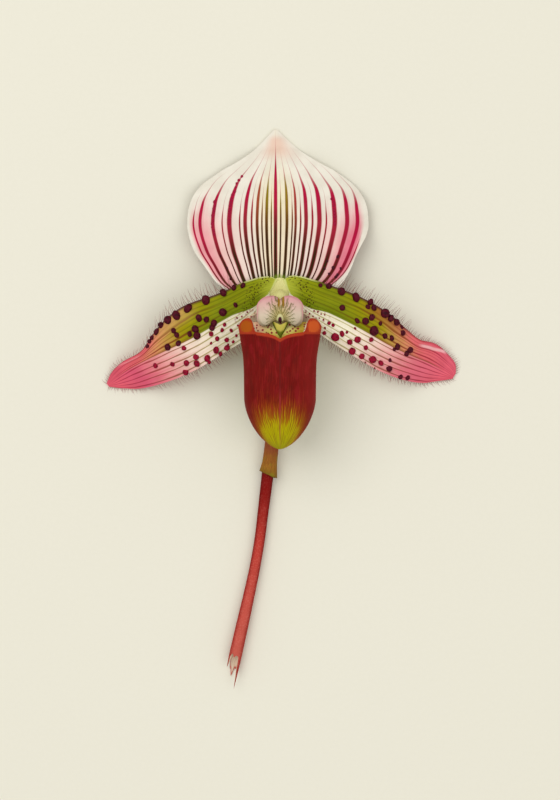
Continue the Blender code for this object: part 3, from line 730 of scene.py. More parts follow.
def sepal_finish():
    """Ivory ground with a rose blush, and crimson veins that turn olive and umber towards the base."""
    material, nodes, across, along = new_finish("sepal_veined")
    tones = colours()
    side = abs(across)
    patch = noise(nodes.vector(across * 9.0, along), 2.2, 3.0)
    lower = fade(along + (patch - 0.5) * 0.3, 0.3, 0.62)

    # The ground: cream in the middle, peach near the tip, and rose low down between the outer veins.
    within = fade(across - ease(along, 0.26, 0.42, 0.95, 0.9), 0.0, 0.05)
    blush = ease(side, 0.2, 0.9, 0.12, 1.0) * lower * within * ease(across, -1.0, -0.95)
    cream = fade(side, 0.05, 0.35, 0.6) * ease(along, 0.55, 0.85, 1.0, 0.2)
    peach = ease(along, 0.78, 0.88, 0.0, 0.7) * fade(along, 0.93, 0.98)
    strong = ease(side, 0.66, 0.86) * fade(side, 0.93, 0.98) * lower * ease(across, -0.2, 0.2, 0.35, 0.75)
    ground = mix(cream, tones.ivory, "#ece0b0")
    ground = painted(
        ground, (peach * fade(side, 0.1, 0.7), "#e2b8a2"), (blush * 0.85, tones.rose), (strong, "#e0607e")
    )

    # All veins together: where they are, their inner parts, and how dark they are.
    masks, cores, darks = 0.0, 0.0, 0.0
    for place, width, end, dark in SEPAL_VEINS:
        one = vein(across, along, place, width / 2 / SEPAL_WIDEST, end)
        masks = larger(one["Mask"], masks)
        cores = larger(one["Core"], cores)
        darks = larger(one["Mask"] * dark, darks)
    foot = fade(along + side * 0.24, 0.33, 0.55) * ease(darks, -0.1, 0.35, 0.5, 1.0)
    foot = foot * larger(cores, ease(along, 0.06, 0.2, 0.85, 0.3))
    lines = mix(fade(side, 0.08, 0.3) * ease(darks, 0.5, 0.8), tones.crimson, "#8a7a14")
    lines = painted(
        lines, (darks * fade(along, 0.42, 0.6, 0.75), "#6a3410"), (foot, tones.umber),
        (fade(along, 0.04, 0.14, 0.6), "#2f4008"),
    )

    # A green glow and a cream edge at the sepal's very foot.
    colour = painted(
        ground, (masks, lines), (fade(along, 0.055, 0.08, 0.6) * fade(side, 0.4, 0.6), "#7d9420"),
        (fade(along, 0.03, 0.048) * fade(side, 0.2, 0.4), "#ddd89e"),
    )
    return flesh(material, colour, roughness=0.6, extra_height=masks * 0.8)


def petal_finish(name, fold_highlight_strength, shoulder_tone_and_highlight, ivory, flush):
    """Green above the middle line, ivory below it, both turning pink at the tip, with veins along."""
    material, nodes, across, along = new_finish(name)
    tones = colours()
    patch = noise(nodes.vector(along * 3.0, across * 7.0), 2.0, 3.0)
    uneven = along + (patch - 0.5) * 0.16
    upper = ramp(
        uneven + ease(across, 0.3, 1.0, 0.0, 0.1),
        (0.0, "#a9b02c"), (0.09, "#8c9206"), (0.3, tones.leaf_green), (0.44, "#948f04"), (0.55, "#a0900c"),
        (0.63, "#c09448"), (0.71, "#d78a62"), (0.8, "#e0696c"), (0.92, tones.petal_pink),
    )
    lower = ramp(
        uneven - across * 0.06,
        (0.0, ivory), (0.4, ivory), (0.54, "#f2d8c6"), (0.65, "#eaaca4"), (0.77, "#e07680"), (0.86, flush),
        (1.0, tones.petal_pink),
    )

    # Veins along both halves, and a deeper green just above the middle line.
    veins = comb(across, along, 7.0, 0.2, 0.5)
    bold = comb(across, along, 2.5, 0.11, 0.3)
    few = comb(across, along, 5.0, 0.16, 0.5)
    dark = ramp(
        along, (0.0, "#4c6404"), (0.5, "#66600a"), (0.66, "#8a4a1c"), (0.85, "#b0303e"), (1.0, "#ac244a"),
    )
    brown = ramp(
        along, (0.0, "#5c6404"), (0.35, "#6a5204"), (0.6, "#7e4012"), (0.8, "#a02c34"), (1.0, "#a82444"),
    )
    olive = ramp(
        along, (0.0, "#b0a84c"), (0.42, "#9a8f28"), (0.56, "#8a5420"), (0.8, "#a0303c"), (1.0, "#a82444"),
    )
    upper = painted(
        upper, (fade(across, 0.0, 0.5, 0.45) * fade(along, 0.4, 0.6), "#557005"), (veins * 0.5, dark),
        (bold * ease(along, 0.2, 0.45, 0.3, 0.85), brown),
    )
    lower = mix(few * ease(along, 0.3, 0.6, 0.65, 0.85), lower, olive)

    # The two halves meet at the middle line, which turns down at the petal's foot.
    upward = ease(across + fade(along, 0.05, 0.26, 0.32), -0.02, 0.02)
    colour = mix(upward * ease(along, 0.85, 1.0, 1.0, 0.4), lower, upper)

    # A brown middle line, a tone at the upper shoulder, which on the left petal is a painted highlight, a
    # painted pink highlight on the rolled fold near the tip, and a maroon upper edge.
    spine = near(across, 0.02, 0.012, 0.04, 0.75) * ease(along, 0.4, 0.55) * fade(along, 0.86, 0.96)
    # Painted highlight: a pale pink band on the rolled fold near the tip.
    fold = near(across - 0.72, ease(along, 0.84, 0.92, 0.0, 0.26), 0.03, 0.12)
    fold = fold * ease(along, 0.76, 0.8) * fade(along, 0.89, 0.92)
    edge = ease(across, 0.9, 0.98) * ease(along, 0.1, 0.2) * fade(along, 0.62, 0.76, 0.9)
    colour = painted(
        colour, (spine, "#7a4412"), (ease(across, 0.4, 0.85) * near(along, 0.54, 0.04, 0.18, 0.7), shoulder_tone_and_highlight),
        (fold * fold_highlight_strength, "#f2bcbc"), (edge, "#4f1a2c"),
    )

    # The foot: light green with a pale rim, tiny dark dots above the middle line and crimson ones below it.
    rim = fade(along, 0.005, 0.014) * upward
    lip = ease(across, 0.93, 0.96) * fade(along, 0.08, 0.14)
    dots = speckles(nodes, 1750.0, 0.36, 0.9) * near(along, 0.15 - across * 0.12, 0.02, 0.055) * upward
    spots = speckles(nodes, 1000.0, 0.36, 0.75) * near(along, 0.16, 0.06, 0.14, 0.5) * (1.0 - upward)
    colour = painted(
        colour, (fade(along, 0.0, 0.09, 0.8) * upward, "#b4bc3c"), (larger(rim, lip) * 0.75, "#d9dc92"),
        (dots, "#351004"), (spots, "#8e1c46"),
    )
    return flesh(material, colour, roughness=0.58, extra_height=veins * 0.7)


def skin_finish(name, colour, roughness=0.5, mottle=0.0):
    """Skin of one colour with the flesh's unevenness and darker mottles, for warts, beads and hairs."""
    material, nodes, _, _ = new_finish(name)
    patch = noise(nodes.object_place(), 1700.0)
    dim = [part * 0.3 for part in shown(colour)]
    return flesh(material, mix(ease(patch, 0.46, 0.62, 0.0, mottle), colour, dim), roughness, shine=0.1)


def lip_finish():
    """Maroon pouch with darker streaks, an orange rim, orange ears and a green toe."""
    material, nodes, across, along = new_finish("pouch_skin")
    tones = colours()
    side = abs(across)
    flame = noise(nodes.vector(across * 26.0, along * 1.6), 3.0, 4.0) - 0.5
    blotch = noise(nodes.vector(across * 5.0, along * 2.2), 3.0, 3.0)
    streaks = comb(across, along, 44.0, 0.36, 3.5)
    high = fade(along, 0.62, 0.76)
    body = ramp(
        along + flame * 0.5 - ease(side, 0.1, 0.5, 0.0, 0.3),
        (0.0, tones.maroon), (0.5, "#74140e"), (0.6, "#8a300c"), (0.7, "#a0620a"), (0.78, tones.toe_green),
        (1.0, "#a8aa02"),
    )
    body = painted(
        body, (streaks * ease(flame, -0.12, 0.12, 0.1, 0.6), "#5c0c10"),
        (ease(flame, 0.0, 0.16, 0.0, 0.35), "#94281c"), (ease(blotch, 0.5, 0.66, 0.0, 0.4) * high, "#56140c"),
        (fade(blotch, 0.34, 0.48, 0.45) * high, "#8e1a20"),
        (ease(across, 0.1, 0.3, 0.0, 0.4) * high, "#982420"), (ease(side, 0.4, 0.49, 0.0, 0.45), "#a83a26"),
        (fade(side, 0.003, 0.01, 0.5), mix(ease(along, 0.4, 0.55), "#5a1c18", "#a23038")),
    )

    # The ears are all of the front above their foot, each with a round orange spot.
    spot = nodes.split(nodes.object_place())
    height = (spot["Y"] - (FLOWER_Y + EAR_FOOT_Y) * MM) / MM
    aside = abs(spot["X"] - FLOWER_X * MM) / MM - EAR_SPOT[0]
    above = height - EAR_SPOT[1]
    away = nodes.math("SQRT", aside * aside + above * above) + flame * 1.4
    fore = fade(side, 0.46, 0.5)
    inner = fade(away, 0.65 * EAR_SPOT_RADIUS, EAR_SPOT_RADIUS) * fore

    # The rim, and the ridge that carries it on below the ears.
    rim = fade(along, 0.02, 0.036) * ease(abs(side - EAR_MIDDLE / 180), 0.09, 0.11)
    ridge = fade(abs(height), 0.15, 0.42, 0.9) * fore * ease(side, 0.17, 0.2)
    inside = mix(speckles(nodes, 1200.0, 0.36, 0.7), "#dcc8a8", "#a03a50")
    body = painted(
        body, (ease(height, -0.2, 0.2) * fore * 0.85, "#ac3a1e"),
        (inner * 0.85, mix(ease(across, -0.1, 0.1), "#a8560e", "#ce5c26")),
        (larger(rim, ridge), "#a8381e"), (ease(side, 0.52, 0.7), "#a8a040"),
        (fade(along, -0.004, 0.0), inside),
    )
    return flesh(material, body, roughness=0.6, shine=0.05, extra_height=streaks * 0.5)


def lobe_finish(name, outer_tone):
    """Yellow-green infolded lobe with crimson dots and another tone at its outer end."""
    material, nodes, across, along = new_finish(name)
    ground = ramp(along, (0.0, "#dcc63c"), (0.5, "#e0d47c"), (1.0, "#ddd0a0"))
    dots = speckles(nodes, 1150.0, 0.4, 0.9)
    colour = painted(ground, (ease(across, -0.3, 0.5, 0.0, 0.85), outer_tone), (dots, "#9a1434"))
    return flesh(material, colour, roughness=0.5)


def tooth_finish():
    """Yellow tooth with a green groove on each side."""
    material, _, across, along = new_finish("tooth_yellow")
    colour = mix(ease(abs(across), 0.6, 0.9), "#d8cc5c", "#5f6a14")
    return flesh(material, mix(ease(along, 0.42, 0.66), colour, "#6f7a1c"), roughness=0.5)


def shield_finish():
    """Pink rim, cream face and olive veins that spread from a dark boss. The leaf map here is polar."""
    material, nodes, across, along = new_finish("shield_netted")
    place = nodes.object_place()
    spot = nodes.split(place)
    reach = along + (noise(place, 420.0) - 0.5) * 0.5
    veins = comb(across, along, 12.0, 0.19, 1.8) * fade(reach, 0.5, 0.74, 0.8)
    twigs = comb(across, along, 23.0, 0.2, 5.0) * fade(reach, 0.4, 0.66, 0.7)
    high = (spot["Y"] - (FLOWER_Y + SHIELD_FOOT_Y) * MM) / (SHIELD_TALL * MM)
    brim = fade(spot["Z"], (SHIELD_HEIGHT + 1.4) * MM, (SHIELD_HEIGHT + 2.1) * MM, 0.75)
    brim = brim * ease(high, 0.2, 0.5)
    aside = abs(spot["X"] - (FLOWER_X + GROOVES_MIDDLE_X) * MM)
    groove = near(aside, GROOVES_HALF_GAP * MM, 0.12 * MM, 0.4 * MM) * ease(high, 0.62, 0.74)
    colour = ramp(high, (0.0, "#d2c8a6"), (0.45, "#d8c6ae"), (0.75, "#d8aea4"), (1.0, "#d8909a"))
    colour = painted(
        colour, (fade(along, 0.1, 0.62, 0.75), "#b0a03c"), (brim, "#dc8e98"),
        (larger(veins, twigs), "#5a5a10"), (groove, "#9c7414"), (fade(along, 0.12, 0.16) * 0.8, "#dcd8a0"),
        (fade(along, 0.065, 0.085), "#4a1828"),
    )
    return flesh(material, colour, roughness=0.5, shine=0.1, extra_height=veins)


def streaked_finish(name, ground, streak, count, share=0.6):
    """A stalk, leaf or anther with streaks along it."""
    material, _, across, along = new_finish(name)
    streaks = comb(across, along, count, 0.34, 1.6)
    return flesh(material, mix(streaks * share, ground, streak), roughness=0.5, extra_height=streaks)


def stem_finish():
    """Crimson velvet that fades to rose down the stem, with painted shade along both sides of the round stem,
    and pale torn flesh.
    """
    material, nodes, across, along = new_finish("stem_velvet")
    top = colours().stem_red
    light = ramp(along, (0.0, top), (0.18, "#861612"), (0.45, "#b63a30"), (0.75, "#c04e42"), (1.0, "#c0584a"))
    # The dark tones are painted shade for the sides of the round stem; the lighter middle is the lit top.
    dark = ramp(along, (0.0, "#6a0c0c"), (0.3, "#7c100e"), (0.7, "#961f1c"), (1.0, "#a03028"))
    nap = ease(noise(nodes.object_place(), 2600.0), 0.45, 0.75) * ease(along, 0.1, 0.6, 0.1, 0.36)
    colour = painted(
        light, (ease(abs(across), 0.2, 0.75), dark), (nap, "#dc8272"), (ease(along, 1.03, 1.08), "#e2cbb2")
    )
    return flesh(material, colour, roughness=0.75, shine=0.04, extra_height=nap)


def bract_finish():
    """Papery sheath: purple-brown at the top, ochre and olive lower down, with dark lines along it."""
    material, nodes, across, along = new_finish("bract_paper")
    lines = comb(across, along, 9.0, 0.26, 1.6)
    patch = noise(nodes.object_place(), 420.0, 3.0)
    colour = ramp(
        along, (0.0, "#8a4c2c"), (0.35, "#98502c"), (0.5, "#9c5e26"), (0.78, "#a47024"), (0.95, "#8e6a1c"),
        (1.0, "#74601a"),
    )
    colour = painted(colour, (lines * 0.6, "#6a3420"), (ease(patch, 0.52, 0.68, 0.0, 0.55), "#8a801c"))
    return flesh(material, colour, roughness=0.6, extra_height=lines)


def sepal_across(x, y):
    """Where a point lies between the sepal's midvein (0) and the line of its last vein (1 or -1)."""
    return (x - MIDVEIN_X) / np.where(x > MIDVEIN_X, through(RIGHT_SPREAD, y), through(LEFT_SPREAD, y))


def nearest(front, x, y):
    """Points of a grid that lie nearest to the given places, seen from above, with their row and column."""
    flat = front.reshape(-1, 3)
    found = [int(np.argmin((flat[:, 0] - a) ** 2 + (flat[:, 1] - b) ** 2)) for a, b in zip(x, y)]
    return flat[found].copy(), np.unravel_index(found, front.shape[:2])


def sepal_front(u, v):
    """Front of the dorsal sepal and its leaf map."""
    along = SEPAL_TIP_Y * (1 - (1 - u) ** 1.12)
    half = through(SEPAL_HALF, along)
    lean = SEPAL_AXIS_X * np.minimum(along / 10.0, 1.0) - 0.6 * step(35.0, 46.0, along)
    x = lean - 0.5 * bump(along, 11.5, 3.5) * np.abs(v) + half * v
    lobe = -3.6 * bump(np.abs(v), 0.62, 0.3) + 2.3 * np.maximum(0.0, 1 - np.abs(v) / 0.28)
    y = along + lobe * (1 - u) ** 7
    side = np.abs(x - SEPAL_AXIS_X)
    drop = 0.0058 * side**2 + 0.6 * (side / SEPAL_WIDEST) ** 6
    keel = 0.5 * bump(side, 0.0, 2.5) * u * np.minimum(1.0, 5 * (1 - u) ** 2)
    phase = np.where(v > 0, 1.1, 0.0)
    wave = 0.8 * np.abs(v) ** 4 * np.sin(along * 0.52 + phase) * np.minimum(1.0, 3 * (1 - u))
    across = sepal_across(x, y)
    relief = np.zeros_like(x)
    for place, width, end, _ in SEPAL_VEINS:
        left = np.clip((end - u) / 0.3, 0.0, 1.0)
        relief += min(width, 1.0) * left * bump(across * SEPAL_WIDEST, place * SEPAL_WIDEST, 0.6 * width)
    z = through(SEPAL_HEIGHT, along) - drop + keel + wave + relief * sizes().vein_relief / MM
    return np.stack([x, y, z], -1), np.stack([(across + 1) / 2, along / SEPAL_TIP_Y], -1)


def grid(rows, columns):
    """Shares along (0 to 1) and across (-1 to 1) for a grid of points."""
    return np.meshgrid(np.linspace(0.0, 1.0, rows + 1), np.linspace(-1.0, 1.0, columns + 1), indexing="ij")


def make_blade(name, front, leaf, u, v, material, *replaced):
    """A blade that lies on the surface where it is lowest and thins towards its rim."""
    front[..., 2] = np.maximum(front[..., 2], BLADE_THICKNESS)
    inside = np.minimum(1 - np.abs(v), np.minimum(u, 1 - u) * 4)
    thick = BLADE_EDGE + (BLADE_THICKNESS - BLADE_EDGE) * step(0.0, 0.35, inside)
    front[..., 2] -= (BLADE_THICKNESS - thick) * 0.5
    back = front.copy()
    back[..., 2] = np.maximum(front[..., 2] - thick, 0.0)
    return hang_on(sheet_between(name, front, back, leaf, material), *replaced)


def make_dorsal_sepal():
    """The veined sepal at the top of the flower."""
    u, v = grid(170, 150)
    front, leaf = sepal_front(u, v)
    return make_blade("dorsal_sepal_skin", front, leaf, u, v, sepal_finish(), "dorsal_sepal", "dorsal_sepal")


def make_synsepal():
    """The two lower sepals, grown together, which the pouch hides from the front."""
    u, v = grid(80, 40)
    reach = through(SYNSEPAL_HALF, u) * v
    ribs = 0.1 * np.cos(v * 22) * np.minimum(1, 4 * (1 - u))
    z = through(SYNSEPAL_HEIGHT, u) + 0.012 * reach**2 * u + ribs
    front = np.stack([reach - 0.8 * u, SYNSEPAL_FOOT_Y - SYNSEPAL_LENGTH * u, z], -1)
    material = streaked_finish("synsepal_pale", "#b9c07a", "#7c8a34", 6.0)
    leaf = np.stack([(v + 1) / 2, u], -1)
    made = sheet_between("synsepal_skin", front, front - (0.0, 0.0, SYNSEPAL_THICKNESS), leaf, material)
    return hang_on(made, "synsepal", "synsepal")


def petal_front(line, above, below, lean, u, v):
    """Front of a petal, with the direction across it."""
    knots = [[(p[0], p[k]) for p in line] for k in (1, 2)]
    x, y = (through(k, u) for k in knots)
    ahead = [through(k, np.minimum(u + 0.03, 1.0)) - through(k, np.maximum(u - 0.03, 0.0)) for k in knots]
    length = np.hypot(*ahead)
    across = np.stack([-ahead[1], ahead[0]], -1) / length[..., None]
    across = np.where(across[..., 1:] < 0, -across, across)
    turned = np.minimum(1.0, u / 0.12)[..., None]
    across = across * turned + np.array((0.0, 1.0)) * (1 - turned)
    reach = np.where(v > 0, through(above, u), through(below, u)) * v
    phase = np.where(v > 0, 0.6, 2.0)
    middle = np.minimum(1.0, np.minimum(4 * u, 4 * (1 - u)))
    wave = PETAL_WAVE * np.abs(v) ** 3 * np.sin(u * 26 + phase) * middle
    roll = 1.1 * np.maximum(0.0, v) ** 3 * bump(u, 0.88, 0.09)
    ribs = 0.07 * np.cos(np.pi * 7.0 * v * 2) * middle
    z = through(PETAL_HEIGHT, u) - PETAL_ROOF * reach**2 * np.minimum(1.0, 3 * u) + wave + roll + ribs
    inward = (lean[0] * np.clip(v, 0.0, 1.0) ** 0.7 - lean[1]) * (1 - step(0.0, 0.13, u))
    rounded = -1.1 * np.maximum(0.0, v) ** 6 * (1 - step(0.0, 0.035, u))
    x = x + across[..., 0] * reach - np.sign(line[-1][1]) * inward
    return np.stack([x, y + across[..., 1] * reach + rounded, z], -1), across


def make_petal(name, shape, look):
    """One petal's blade, without its warts and hairs."""
    u, v = grid(180, 64)
    front, _ = petal_front(*shape, u, v)
    leaf = np.stack([(v + 1) / 2, u], -1)
    return make_blade(name + "_skin", front, leaf, u, v, petal_finish(name + "_flesh", *look), "petals", name)


def marker_mesh(name, points, edges, **attributes):
    """Points in mm round the flower's middle, with attributes for a geometry tree to read."""
    mesh = bpy.data.meshes.new(name)
    mesh.from_pydata(((np.asarray(points, float) + (FLOWER_X, FLOWER_Y, 0.0)) * MM).tolist(), edges, [])
    for key, values in attributes.items():
        values = np.asarray(values, float)
        kind, field = ("FLOAT_VECTOR", "vector") if values.ndim == 2 else ("FLOAT", "value")
        mesh.attributes.new(key, kind, "POINT").data.foreach_set(field, values.ravel())
    made = bpy.data.objects.new(name, mesh)
    bpy.context.scene.collection.objects.link(made)
    return made


def attribute(nodes, name, kind="FLOAT"):
    """What the marker mesh says under this name."""
    return nodes.add("GeometryNodeInputNamedAttribute", {"Name": name}, data_type=kind)["Attribute"]


def copies_on(nodes, points, piece, lean, scale):
    """Copies of a piece on points, each with its +Z turned to its lean."""
    turn = nodes.add("FunctionNodeAlignRotationToVector", {"Vector": lean}, axis="Z")["Rotation"]
    inputs = {"Points": points, "Instance": piece, "Rotation": turn, "Scale": scale}
    return nodes.add("GeometryNodeInstanceOnPoints", inputs)["Instances"]


def bristle_tree():
    """Tapered, slightly bent bristles along the edges of a marker mesh, leaning as its `lean` says."""

    def fill(nodes, given):
        curve = nodes.add("GeometryNodeMeshToCurve", {"Mesh": given["Geometry"]})["Curve"]
        even = nodes.add("GeometryNodeResampleCurve", {"Curve": curve, "Count": given["Count"]})["Curve"]
        limits = {"Min": (-1.0, -1.0, -1.0), "Max": (1.0, 1.0, 1.0), "Seed": given["Seed"]}
        jitter = nodes.add("FunctionNodeRandomValue", limits, data_type="FLOAT_VECTOR")["Value"]
        sway = nodes.add("ShaderNodeVectorMath", {0: jitter, "Scale": given["Spread"]}, operation="SCALE")
        ways = {0: attribute(nodes, "lean", "FLOAT_VECTOR"), 1: sway["Vector"]}
        lean = nodes.add("ShaderNodeVectorMath", ways, operation="ADD")["Vector"]
        limits = {"Min": given["Shortest"], "Max": given["Longest"], "Seed": given["Seed"]}
        tall = nodes.add("FunctionNodeRandomValue", limits, data_type="FLOAT")["Value"]
        tall = tall * attribute(nodes, "reach")
        inputs = {
            "Vertices": 4, "Side Segments": 4, "Radius Top": HAIR_TIP * MM, "Radius Bottom": given["Radius"],
            "Depth": 1.0,
        }
        cone = nodes.add("GeometryNodeMeshCone", inputs)["Mesh"]
        height = nodes.split(nodes.add("GeometryNodeInputPosition")["Position"])["Z"]
        curl = height * height * (HAIR_CURL * MM)
        inputs = {"Geometry": cone, "Offset": nodes.vector(curl, curl * 0.5)}
        bent = nodes.add("GeometryNodeSetPosition", inputs)["Geometry"]
        copies = copies_on(nodes, even, bent, lean, nodes.vector(1.0, 1.0, tall))
        real = nodes.add("GeometryNodeRealizeInstances", {"Geometry": copies})["Geometry"]
        spot = nodes.split(nodes.add("GeometryNodeInputPosition")["Position"])
        kept = nodes.vector(spot["X"], spot["Y"], larger(spot["Z"], HAIR_LOWEST * MM))
        above = nodes.add("GeometryNodeSetPosition", {"Geometry": real, "Position": kept})["Geometry"]
        return nodes.add("GeometryNodeSetMaterial", {"Geometry": above, "Material": given["Material"]})

    inputs = (
        ("Geometry", "Geometry"), ("Count", "Int"), ("Shortest", "Float"), ("Longest", "Float"),
        ("Radius", "Float"), ("Spread", "Float"), ("Seed", "Int"), ("Material", "Material"),
    )
    return filled_tree("Bristles", "GeometryNodeTree", inputs, "Geometry", fill)


def wart_tree():
    """Flattened beads on a marker mesh's points, as large as its `radius` says and turned to its `lean`."""

    def fill(nodes, given):
        inputs = {"Radius": 1.0, "Subdivisions": given["Detail"]}
        bead = nodes.add("GeometryNodeMeshIcoSphere", inputs)["Mesh"]
        radius = attribute(nodes, "radius") * given["Size"]
        scale = nodes.vector(radius * attribute(nodes, "narrow"), radius, radius * given["Flatness"])
        lean = attribute(nodes, "lean", "FLOAT_VECTOR")
        copies = copies_on(nodes, given["Geometry"], bead, lean, scale)
        limits = {"Min": (0.0, 0.0, -WART_SPIN), "Max": (0.0, 0.0, WART_SPIN)}
        spin = nodes.add("FunctionNodeRandomValue", limits, data_type="FLOAT_VECTOR")["Value"]
        spin = nodes.add("FunctionNodeEulerToRotation", {"Euler": spin})["Rotation"]
        inputs = {"Instances": copies, "Rotation": spin}
        copies = nodes.add("GeometryNodeRotateInstances", inputs)["Instances"]
        real = nodes.add("GeometryNodeRealizeInstances", {"Geometry": copies})["Geometry"]
        rough = noise(nodes.add("GeometryNodeInputPosition")["Position"], 1500.0)
        push = (rough - 0.5) * (WART_ROUGHNESS * MM)
        inputs = {0: nodes.add("GeometryNodeInputNormal")["Normal"], "Scale": push}
        offset = nodes.add("ShaderNodeVectorMath", inputs, operation="SCALE")["Vector"]
        uneven = nodes.add("GeometryNodeSetPosition", {"Geometry": real, "Offset": offset})["Geometry"]
        smooth = nodes.add("GeometryNodeSetShadeSmooth", {"Geometry": uneven})["Geometry"]
        return nodes.add("GeometryNodeSetMaterial", {"Geometry": smooth, "Material": given["Material"]})

    inputs = (
        ("Geometry", "Geometry"), ("Detail", "Int"), ("Flatness", "Float"), ("Size", "Float"),
        ("Material", "Material"),
    )
    return filled_tree("Warts", "GeometryNodeTree", inputs, "Geometry", fill)


def grown(marker, tree, values):
    """Runs a geometry tree on a marker mesh and keeps its result as a plain mesh."""
    modifier = marker.modifiers.new("Growth", "NODES")
    modifier.node_group = tree
    for socket in tree.interface.items_tree:
        if socket.in_out == "INPUT" and socket.name in values:
            modifier[socket.identifier] = values[socket.name]
    graph = bpy.context.evaluated_depsgraph_get()
    mesh = bpy.data.meshes.new_from_object(marker.evaluated_get(graph))
    marker.modifiers.clear()
    marker.data = mesh
    mesh.shade_smooth()
    return marker


def make_beads(name, slot, middle, radius, material, flatness, lift):
    """Beads of the given radii (mm) at the given places, lifted by a share of their radii."""
    middle[..., 2] += lift * radius
    lean = np.tile((0.0, 0.0, 1.0), (len(radius), 1))
    narrow = np.random.default_rng(len(radius)).uniform(0.72, 1.0, len(radius))
    marker = marker_mesh(name, middle, [], radius=radius * MM * 1.06, lean=lean, narrow=narrow)
    values = {"Detail": 3, "Flatness": flatness, "Size": sizes().wart_stretch, "Material": material}
    return hang_on(grown(marker, wart_tree(), values), slot)


def make_warts(name, shape, places):
    """Warts of one petal, dark ones above its middle line and red ones below."""
    u, v = grid(200, 80)
    front, _ = petal_front(*shape, u, v)
    x, y, radius = np.array(places).T
    found, (_, column) = nearest(front, x, y)
    upper = (v[0, column] > -0.14) & (radius > 0.5) | (x > WARTS_DARKEN_AT)
    for label, chosen, colour in (("dark", upper, colours().wart_dark), ("red", ~upper, colours().wart_red)):
        material = skin_finish(f"{name}_wart_{label}", colour, mottle=0.8)
        make_beads(f"{name}_warts_{label}", "petals", found[chosen], radius[chosen], material, 0.62, 0.12)


def make_sepal_beads():
    """Small beads along the strongest veins of the dorsal sepal, and larger ones low on it."""
    rng = np.random.default_rng(5)
    u, v = grid(200, 160)
    front, _ = sepal_front(u, v)
    x, y = [], []
    for place, low, high in BEADED_VEINS:
        rows = np.arange(low, high, BEAD_STEP)
        spread = through(RIGHT_SPREAD if place > 0 else LEFT_SPREAD, rows)
        x += list(MIDVEIN_X + place * spread + rng.uniform(-0.25, 0.1, len(rows)))
        y += list(rows)
    small = (x, y, rng.uniform(0.34, 0.52, len(x)))
    for label, beads, colour in (("high", small, "#9a1238"), ("low", np.array(LOW_BEADS).T, "#47101c")):
        found, _ = nearest(front, beads[0], beads[1])
        material = skin_finish("sepal_bead_" + label, colour, roughness=0.55)
        make_beads("sepal_beads_" + label, "dorsal_sepal", found, beads[2], material, 0.5, 0.0)


def make_hairs(name, shape, seed):
    """Bristles along the petal's upper edge, lower edge and tip."""
    outer = np.sign(shape[0][-1][1])
    material = skin_finish("hair_brown", "#8a2e26", roughness=0.6)
    for label, side, start in HAIR_EDGES:
        u = np.linspace(start, 1.0, 70)
        middle, across = petal_front(*shape, u, np.full_like(u, side * 0.99))
        middle[..., 2] = np.maximum(middle[..., 2] - 0.45, 0.3)
        lean = np.concatenate([across * side, np.full((len(u), 1), 0.2)], -1)
        lean[:, 0] += outer * (0.1 + 0.9 * step(0.8, 1.0, u))
        reach = 1.0 - 0.62 * step(0.45, 0.8, u) if side > 0 else 0.62 - 0.26 * step(0.6, 0.85, u)
        edges = [(i, i + 1) for i in range(len(u) - 1)]
        marker = marker_mesh(f"{name}_hairs_{label}", middle, edges, lean=lean, reach=reach)
        values = {
            "Count": sizes().hair_count, "Shortest": sizes().hair_short, "Longest": sizes().hair_long,
            "Radius": sizes().hair_radius, "Spread": 0.3, "Seed": seed, "Material": material,
        }
        hang_on(grown(marker, bristle_tree(), values), "petals")


def pouch_surface(degrees, t):
    """Outside of the pouch: the angle from the front, and 0 at the rim to 1 at the toe."""
    rim = through(POUCH_RIM, np.abs(degrees))
    y = rim + (TOE_Y - rim) * np.sin(t * np.pi / 2)
    share = np.clip((POUCH_TOE_START - y) / (POUCH_TOE_START - TOE_Y), 0.0, 1.0)
    narrowed = (1 - share**1.7) ** 0.62
    turn = np.radians(degrees)
    x = through(POUCH_HALF, y) * narrowed * np.sin(turn)
    return np.stack([x, y, through(POUCH_MIDDLE, y) + through(POUCH_DEPTH, y) * narrowed * np.cos(turn)], -1)


def outward(points):
    """Unit directions out of a grid of points that is closed round its columns."""
    along = np.gradient(points, axis=0)
    round_ = np.roll(points, -1, axis=1) - np.roll(points, 1, axis=1)
    out = np.cross(round_, along)
    return out / np.maximum(np.linalg.norm(out, axis=-1, keepdims=True), 1e-9)


def make_lip():
    """The pouch with a thickened rolled rim, which runs on below the two ears as a ridge."""
    rows, sides = 110, 240
    t, degrees = np.meshgrid(
        np.linspace(0.0, 0.996, rows + 1), np.linspace(-180.0, 180.0, sides, endpoint=False), indexing="ij"
    )
    outer = pouch_surface(degrees, t)
    out = outward(outer)
    if out[rows // 2, sides // 2, 2] < 0:
        out = -out
    ear = step(35.0, 39.0, np.abs(degrees)) * (1 - step(74.0, 82.0, np.abs(degrees)))
    rim = 0.18 * bump(t, 0.0, 0.018) + 0.3 * ear * bump(outer[..., 1], EAR_FOOT_Y, 0.4)
    inner = outer - POUCH_WALL * out
    outer = outer + rim[..., None] * out
    leaf = np.stack([(degrees / 180.0 + 1) / 2, np.sin(t * np.pi / 2)], -1)
    within = leaf * (1.0, -1.0) - (0.0, 0.02)
    made = shell_between("lip_skin", outer, inner, (leaf, within), lip_finish(), True, False)
    return hang_on(made, "lip", "lip")


